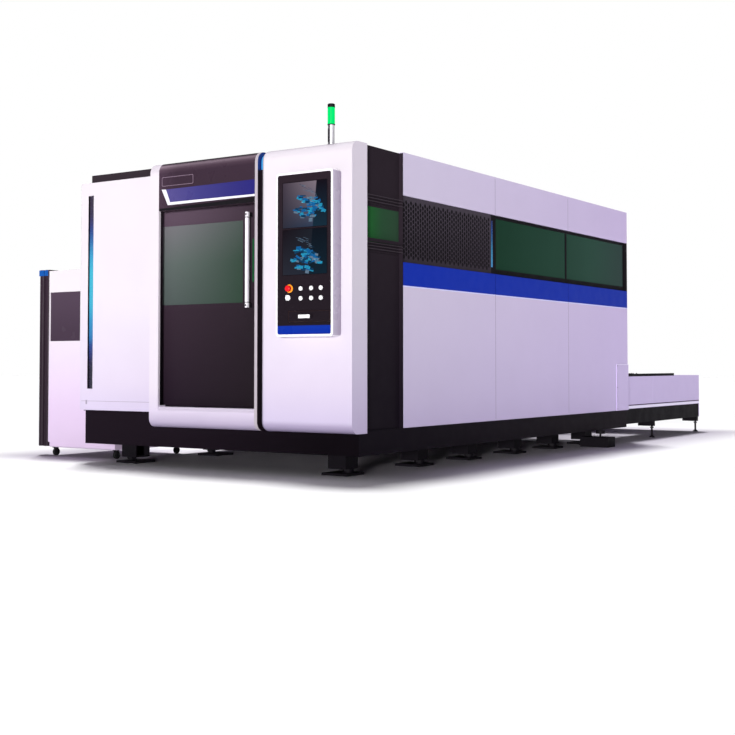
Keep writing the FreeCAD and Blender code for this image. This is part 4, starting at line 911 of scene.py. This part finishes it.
# (name, foot, top, painted reflection colours, dark colours)
DISPLAYS = (
    ("upper_display", 1679, 1985,
     ((44, 44, 56), (42, 58, 82), (66, 56, 68), (126, 113, 124)), ((16, 42, 57), (14, 8, 18))),
    ("lower_display", 1362, 1666,
     ((38, 40, 50), (30, 38, 50), (20, 12, 18), (26, 31, 39)), ((10, 32, 44), (6, 15, 24))))
BEZEL = ((16.0, 0.4), (20.5, 0.4), (20.5, -1.2), (19.6, -2.2), (17.0, -2.2), (16.0, -1.2))
STRIP_TOP = 1021
DRAWER_TOP = 1118
DRAWER_LINE = 1.6    # width of the drawer's outline
DRAWER_PULL = ((-364, -269), (FACE - 10.8, FACE + 2), (1070, 1094))
GLASS_DEPTH, EDGE_DEPTH = (FACE - 0.6, FACE + 0.5), (FACE - 0.9, FACE + 0.5)
STRIP_DEPTH, OUTLINE_DEPTH = (FACE - 0.7, FACE + 0.5), (FACE - 0.5, FACE + 0.4)


def console_trim():
    """Two displays, the blue foot strip, bezels, drawer outline and the white pull."""
    for name, z0, z1, wash, dark in DISPLAYS:
        glass = (*DISPLAY_X, z0, z1)
        look = screen_look(name, z0, z1, wash, dark)
        put_plate(name, rounded(glass, 3), GLASS_DEPTH, look, "root")
        put_ring(name + "_edge", rounded(grown(glass, 3), 5), rounded(grown(glass, -1), 3),
                 EDGE_DEPTH, screen_edge, "root")
    shards("upper_display_figure", -275, 1808, seed=5)
    shards("lower_display_figure", -303, 1464, seed=9)
    (x0, _, z0), (x1, _, _) = corners(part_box("console_glass"))
    outline = rounded((x0 + 1, x1 - 1, z0 + 1, 1100), 12)
    # two points of each upper corner, brought down to the strip's top, and the lower corners
    strip = [(x, min(z, STRIP_TOP)) for x, z in outline[:2] + outline[2 * CORNER_POINTS - 2:]]
    put_plate("console_blue_strip", strip, STRIP_DEPTH, blue_strip, "root")
    bm = bmesh.new()
    for number in range(1, 7):
        low, high = corners(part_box("console_button_%d" % number))
        middle = ((low[0] + high[0]) / 2, FACE, (low[2] + high[2]) / 2)
        lathe(bm, middle, "y", BEZEL, steps=36, closed=True)
    put("console_button_bezels", bm, screen_edge, "root")
    (x0, _, z0), (x1, _, _) = corners(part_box("keyboard_drawer"))
    drawer = (x0 + 1, x1 - 1, z0 + 1, DRAWER_TOP)
    put_ring("drawer_outline", rounded(drawer, 3), rounded(grown(drawer, -DRAWER_LINE), 2),
             OUTLINE_DEPTH, drawer_line, "drawer")
    put_blocks("drawer_pull_cover", [DRAWER_PULL], cap_white, "drawer", bevel=2.0)


ESTOP_RING = ((8, 0.6), (9, 0.2), (14, 0.15), (15, 0.6))
ESTOP_FACE = (-443, FACE - 30, 1271)
KNOB_POINTER = ((-456, -454), (FACE - 20.5, FACE - 20), (1215, 1222))


def control_details():
    """Ring on the emergency stop's face and pointer of the knob."""
    bm = bmesh.new()
    lathe(bm, ESTOP_FACE, "y", ESTOP_RING, steps=36)
    put("estop_face_ring", bm, estop_dark, "estop")
    put_blocks("knob_pointer", [KNOB_POINTER], seam_dark, "knob", bevel=0.2)


# ---- tower, feet, side and cabinet
def channel_glow():
    """Painted deep blue glow of the curved light strip beside it: up the channel, round its top and
    back.
    """
    radius, ahead, foot, top, steps = 51.0, 30.0, 2121, 2225.0, 12
    bend = top - radius
    path = [(ahead, foot + (bend - foot) * k / (steps - 1)) for k in range(steps)]
    for k in range(1, steps + 1):
        a = math.radians(90 * k / steps)
        path.append((ahead + radius - radius * math.cos(a), bend + radius * math.sin(a)))
    path.append((150, top))
    bm = bmesh.new()
    profile_strip(bm, -796.5, -784.5, path, 2.0)
    put("channel_glow", bm, glow_blue, "root")


TOWER_SEAT = ((34, 0), (34, 3), (31, 6), (23.5, 7))
LENS_FOOT_RING = ((25.6, -1), (26.4, 0.6), (26.4, 3.4), (25.6, 5))
LENS_TOP_RING = ((25.5, 0), (26.2, 1.2), (26.2, 3), (25.5, 4))
SEAT_Z, LENS_FOOT, LENS_TOP = 2250.2, 2390, 2509


def tower_details():
    """Seat, joint rings and the dark slot of the signal tower."""
    low, high = corners(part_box("tower_light_post"))
    x, y = (low[0] + high[0]) / 2, (low[1] + high[1]) / 2
    bm = bmesh.new()
    lathe(bm, (x, y, SEAT_Z), "z", TOWER_SEAT, steps=40)
    put("tower_seat", bm, tower_silver, "root")
    bm = bmesh.new()
    lathe(bm, (x, y, LENS_FOOT), "z", LENS_FOOT_RING, steps=40)
    lathe(bm, (x, y, LENS_TOP), "z", LENS_TOP_RING, steps=40)
    put("tower_rings", bm, black_plastic, "root")
    slot = ((x - 13.5, x - 2.5), (y - 22.8, y - 15), (2272, 2364))
    put_blocks("tower_slot", [slot], black_plastic, "root", bevel=1.5)


FOOT_X, FOOT_Y = (-253, -2310), (324, 1268, 2031, 2835, 3588, 4340)
FOOT_WASHER = ((40, 0), (40, 3), (38, 4.5), (29, 4.5))
FOOT_NUT = ((37, 0), (39, 1.5), (39, 14.5), (37, 16))
TABLE_FOOT_X, TABLE_FOOT_Y = (-115, -2448), (5727, 7095)
TABLE_NUT = ((18, 0), (19.5, 1.2), (19.5, 13), (18, 14.2))
HEXAGON = 6
WASHER_Z, NUT_Z, TABLE_NUT_Z = 18.2, 28.5, 96


def feet_details():
    """Washers and lock nuts on the levelling studs, and nuts on the table's feet."""
    bm = bmesh.new()
    for x in FOOT_X:
        for y in FOOT_Y:
            lathe(bm, (x, y, WASHER_Z), "z", FOOT_WASHER, steps=32)
            lathe(bm, (x, y, NUT_Z), "z", FOOT_NUT, HEXAGON, turn=0.3)
    put("foot_lock_nuts", bm, dark_steel, "root")
    bm = bmesh.new()
    for x in TABLE_FOOT_X:
        for y in TABLE_FOOT_Y:
            lathe(bm, (x, y, TABLE_NUT_Z), "z", TABLE_NUT, HEXAGON)
    put("table_foot_nuts", bm, bolt_steel, "root")


HATCH_SCREW = ((4.5, -0.3), (4.5, 0.9), (3.6, 1.6), (2.025, 1.6), (1.89, 0.6))
HATCH_SCREWS = ((8.3, 4504, 334), (8.3, 4504, 540), (8.3, 4504, 749))
PANEL_SEAMS = (2018, 3401)    # y of the gaps between the side panels
SEAM_HALF = 3
LOWER_SEAM, BLUE_SEAM, UPPER_SEAM = (330, 1315), (BAND_FOOT, 1476), (1957, 2240)    # along z
SIDE_SKIN = (-0.6, 0.4)    # x range of a thin strip on a side face, from that face
# painted highlight: a lighter strip along the edge of each louvre
LOUVRES = (1545, 1565, 1585, 1868, 1889, 1910)
LOUVRE_HALF = 1.8
LOUVRE_INSET = 4
WINDOW_SILL = (1594, 1617)
END_POST = 20


def side_details():
    """Screws and gaskets of the long side, painted highlights on the louvre edges, window sill and
    the band's end post.
    """
    bm = bmesh.new()
    for place in HATCH_SCREWS:
        lathe(bm, place, "x", HATCH_SCREW, steps=20)
    put("hatch_screws", bm, bolt_steel, "hatch")
    seams = [(y - SEAM_HALF, y + SEAM_HALF) for y in PANEL_SEAMS]
    white = [(SIDE_SKIN, seam, z) for seam in seams for z in (LOWER_SEAM, UPPER_SEAM)]
    put_blocks("panel_gaskets", white, gasket_grey, "root")
    blue = [(SIDE_SKIN, seam, BLUE_SEAM) for seam in seams]
    put_blocks("blue_band_gaskets", blue, gasket_blue, "root")
    (_, y0, _), (x, y1, _) = corners(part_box("transition_cover"))
    width = (y0 + LOUVRE_INSET, y1 - LOUVRE_INSET)
    edges = [((x - 0.5, x + 0.9), width, (z - LOUVRE_HALF, z + LOUVRE_HALF)) for z in LOUVRES]
    put_blocks("louvre_edge_highlights", edges, louvre_highlight, "root", bevel=0.3)
    sill = ((x - 8, x + 0.7), width, WINDOW_SILL)
    put_blocks("transition_window_sill", [sill], black_paint, "root", bevel=0.3)
    (_, _, z0), (x, y, z1) = corners(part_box("band_frame"))
    post = ((x - 0.5, SIDE_SKIN[0]), (y - END_POST, y - 0.4), (z0 + 0.5, z1 - 0.5))
    put_blocks("band_end_post", [post], dark_steel, "root", bevel=0.6)


# z ranges of the painted shade in the groove and of the painted highlight on the foot
TABLE_GROOVE, TABLE_FOOT, TABLE_INSET = (349, 358), (321, 346), 6


def hatch_and_table_lines():
    """Painted highlight on the hatch's top and painted shade on its front edge; painted shade in
    the groove of the table covers and a painted highlight on their light foot.
    """
    (_, y0, z0), (x, y1, z1) = corners(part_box("rear_hatch"))
    skin = (x + SIDE_SKIN[0], x + SIDE_SKIN[1])
    top = (skin, (y0 + 2, y1 - 2), (z1 - 6, z1 - 1))
    put_blocks("hatch_top_edge", [top], edge_highlight, "hatch")
    ahead = (skin, (y0 + 0.6, y0 + 7), (z0 + 2, z1 - 8))
    put_blocks("hatch_front_edge", [ahead], edge_shade, "hatch")
    (_, y0, _), (x, y1, _) = corners(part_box("table_covers"))
    skin, length = (x + SIDE_SKIN[0], x + SIDE_SKIN[1]), (y0 + TABLE_INSET, y1 - TABLE_INSET)
    put_blocks("table_cover_groove_shade", [(skin, length, TABLE_GROOVE)],
               groove_shade, "root")
    put_blocks("table_cover_foot", [(skin, length, TABLE_FOOT)], edge_highlight, "root")


COVER_SEAM = ((-2594, -1818), (58.8, 60.6), (478, 481))
COVER_LATCH = ((-2546, -2530), (58.2, 60.6), (455, 487))
LIGHT_LINER = ((-2531, -2529.5), (61, 75.5), (575, 2072))


def left_cover_details():
    """Seam and latch at the left cover's foot, and the dark liner beside its light strip."""
    put_blocks("left_cover_seam", [COVER_SEAM], seam_dark, "root", bevel=0.4)
    put_blocks("left_cover_latch", [COVER_LATCH], seam_dark, "root", bevel=0.8)
    put_blocks("left_light_liner", [LIGHT_LINER], black_plastic, "root", bevel=0.2)


CABINET_WINDOW = (-3364, -3011, 957, 1365)
CABINET_WINDOW_DEPTH = (431.5, 437)
POST_LIGHTS = ((-3507.5, -3453.5), (-3443.5, -3402))    # x limits, clear of the door's hinge edge
POST_LIGHT_Y, POST_LIGHT_Z = (428.6, 436), (1508, 1557)


def cabinet_details():
    """Dark window in the door's recess and the two blue lights at the top of the post."""
    put_plate("cabinet_window", rounded(CABINET_WINDOW, 4), CABINET_WINDOW_DEPTH,
              cabinet_pane, "cabinet_leaf")
    lights = [(x, POST_LIGHT_Y, POST_LIGHT_Z) for x in POST_LIGHTS]
    put_blocks("cabinet_post_lights", lights, post_blue, "root", bevel=2.5)


header_trim()
door_trim()
console_trim()
control_details()
channel_glow()
tower_details()
feet_details()
side_details()
hatch_and_table_lines()
left_cover_details()
cabinet_details()


# ---- floor, light and camera
def patch(look, left, right, near, far):
    """Soft patch of painted shadow on the floor; each side is the pair of places between which it
    fades.
    """
    return look.both(look.rise("x", *left), look.fall("x", *right),
                     look.rise("y", *near), look.fall("y", *far))


FLOOR_HALF = 60.0    # metres
# colour of the painted shadow under the machine and the cabinet
FLOOR_SHADE = (0.52, 0.49, 0.55)


def lay_floor():
    """Pale floor with a painted shadow under the machine and beside it under the cabinet."""
    bm = bmesh.new()
    bmesh.ops.create_grid(bm, x_segments=8, y_segments=8, size=FLOOR_HALF)
    mesh = bpy.data.meshes.new("studio_floor")
    bm.to_mesh(mesh)
    bm.free()
    look = Look("floor_pale", Specular_IOR_Level=0.05)
    bare = look.mix(look.spread(look.noise(scale=0.6)), (0.89, 0.89, 0.89), (0.91, 0.91, 0.91))
    machine = patch(look, (-3000, -2400), (50, 850), (-250, 650), (7000, 7900))
    cabinet = patch(look, (-4200, -3400), (-2900, -2300), (-200, 400), (1100, 1800))
    under = look.math("MAXIMUM", machine, cabinet)
    look.feed("Base Color", look.mix(under, bare, FLOOR_SHADE))
    look.feed("Roughness", look.spread(look.noise(scale=3.0), 0.6, 0.75))
    mesh.materials.append(look.mat)
    floor = bpy.data.objects.new("studio_floor", mesh)
    link(floor)


AMBIENT = (0.93, 0.88, 1.0, 1.0)
AMBIENT_STRENGTH = 0.12
BACKDROP = (1.0, 1.0, 1.0, 1.0)


def surroundings():
    """White backdrop that the camera sees, and a dim lilac ambient light for everything else."""
    world = bpy.context.scene.world or bpy.data.worlds.new("studio")
    bpy.context.scene.world = world
    world.use_nodes = True
    nodes, links = world.node_tree.nodes, world.node_tree.links
    nodes.clear()
    seen = nodes.new("ShaderNodeBackground")
    seen.inputs[0].default_value = BACKDROP
    ambient = nodes.new("ShaderNodeBackground")
    ambient.inputs[0].default_value = AMBIENT
    ambient.inputs[1].default_value = AMBIENT_STRENGTH
    choice = nodes.new("ShaderNodeMixShader")
    links.new(nodes.new("ShaderNodeLightPath").outputs["Is Camera Ray"], choice.inputs[0])
    links.new(ambient.outputs[0], choice.inputs[1])
    links.new(seen.outputs[0], choice.inputs[2])
    links.new(choice.outputs[0], nodes.new("ShaderNodeOutputWorld").inputs[0])


# (name, energy, spread in degrees, direction of travel, tint)
LAMPS = (
    ("front_light", 4.0, 8, (-0.36, 0.93, -0.05), (1.0, 0.99, 0.98)),
    ("side_light", 0.24, 20, (-0.95, 0.30, -0.08), (1.0, 1.0, 1.0)),
    ("top_light", 3.3, 12, (0.22, -0.20, -0.955), (1.0, 1.0, 1.0)))


def lamps():
    """Broad suns from the front, the right and above."""
    for name, energy, spread, travel, tint in LAMPS:
        sun = bpy.data.lights.new(name, "SUN")
        sun.energy = energy
        sun.angle = math.radians(spread)
        sun.color = tint
        lamp = bpy.data.objects.new(name, sun)
        lamp.rotation_euler = Vector(travel).to_track_quat("-Z", "Y").to_euler()
        link(lamp)


EYE = (4560, -6647, 761.5)
EYE_TURN = 33.725    # degrees to the left of straight ahead
EYE_RISE = 1.985    # degrees above the horizon
FOCAL_LENGTH, SENSOR_WIDTH = 60.04, 36.0
PICTURE_SHIFT = -0.0619
VIEW_DEPTH = 200.0    # metres


def camera():
    """The photograph's point of view."""
    data = bpy.data.cameras.new("view")
    data.lens = FOCAL_LENGTH
    data.sensor_width = SENSOR_WIDTH
    data.shift_y = PICTURE_SHIFT
    data.clip_end = VIEW_DEPTH
    eye = bpy.data.objects.new("view", data)
    eye.location = at(*EYE)
    eye.rotation_euler = (math.radians(90 + EYE_RISE), 0.0, math.radians(EYE_TURN))
    link(eye)
    bpy.context.scene.camera = eye


lay_floor()
surroundings()
lamps()
bpy.context.scene.view_settings.view_transform = "Standard"
camera()
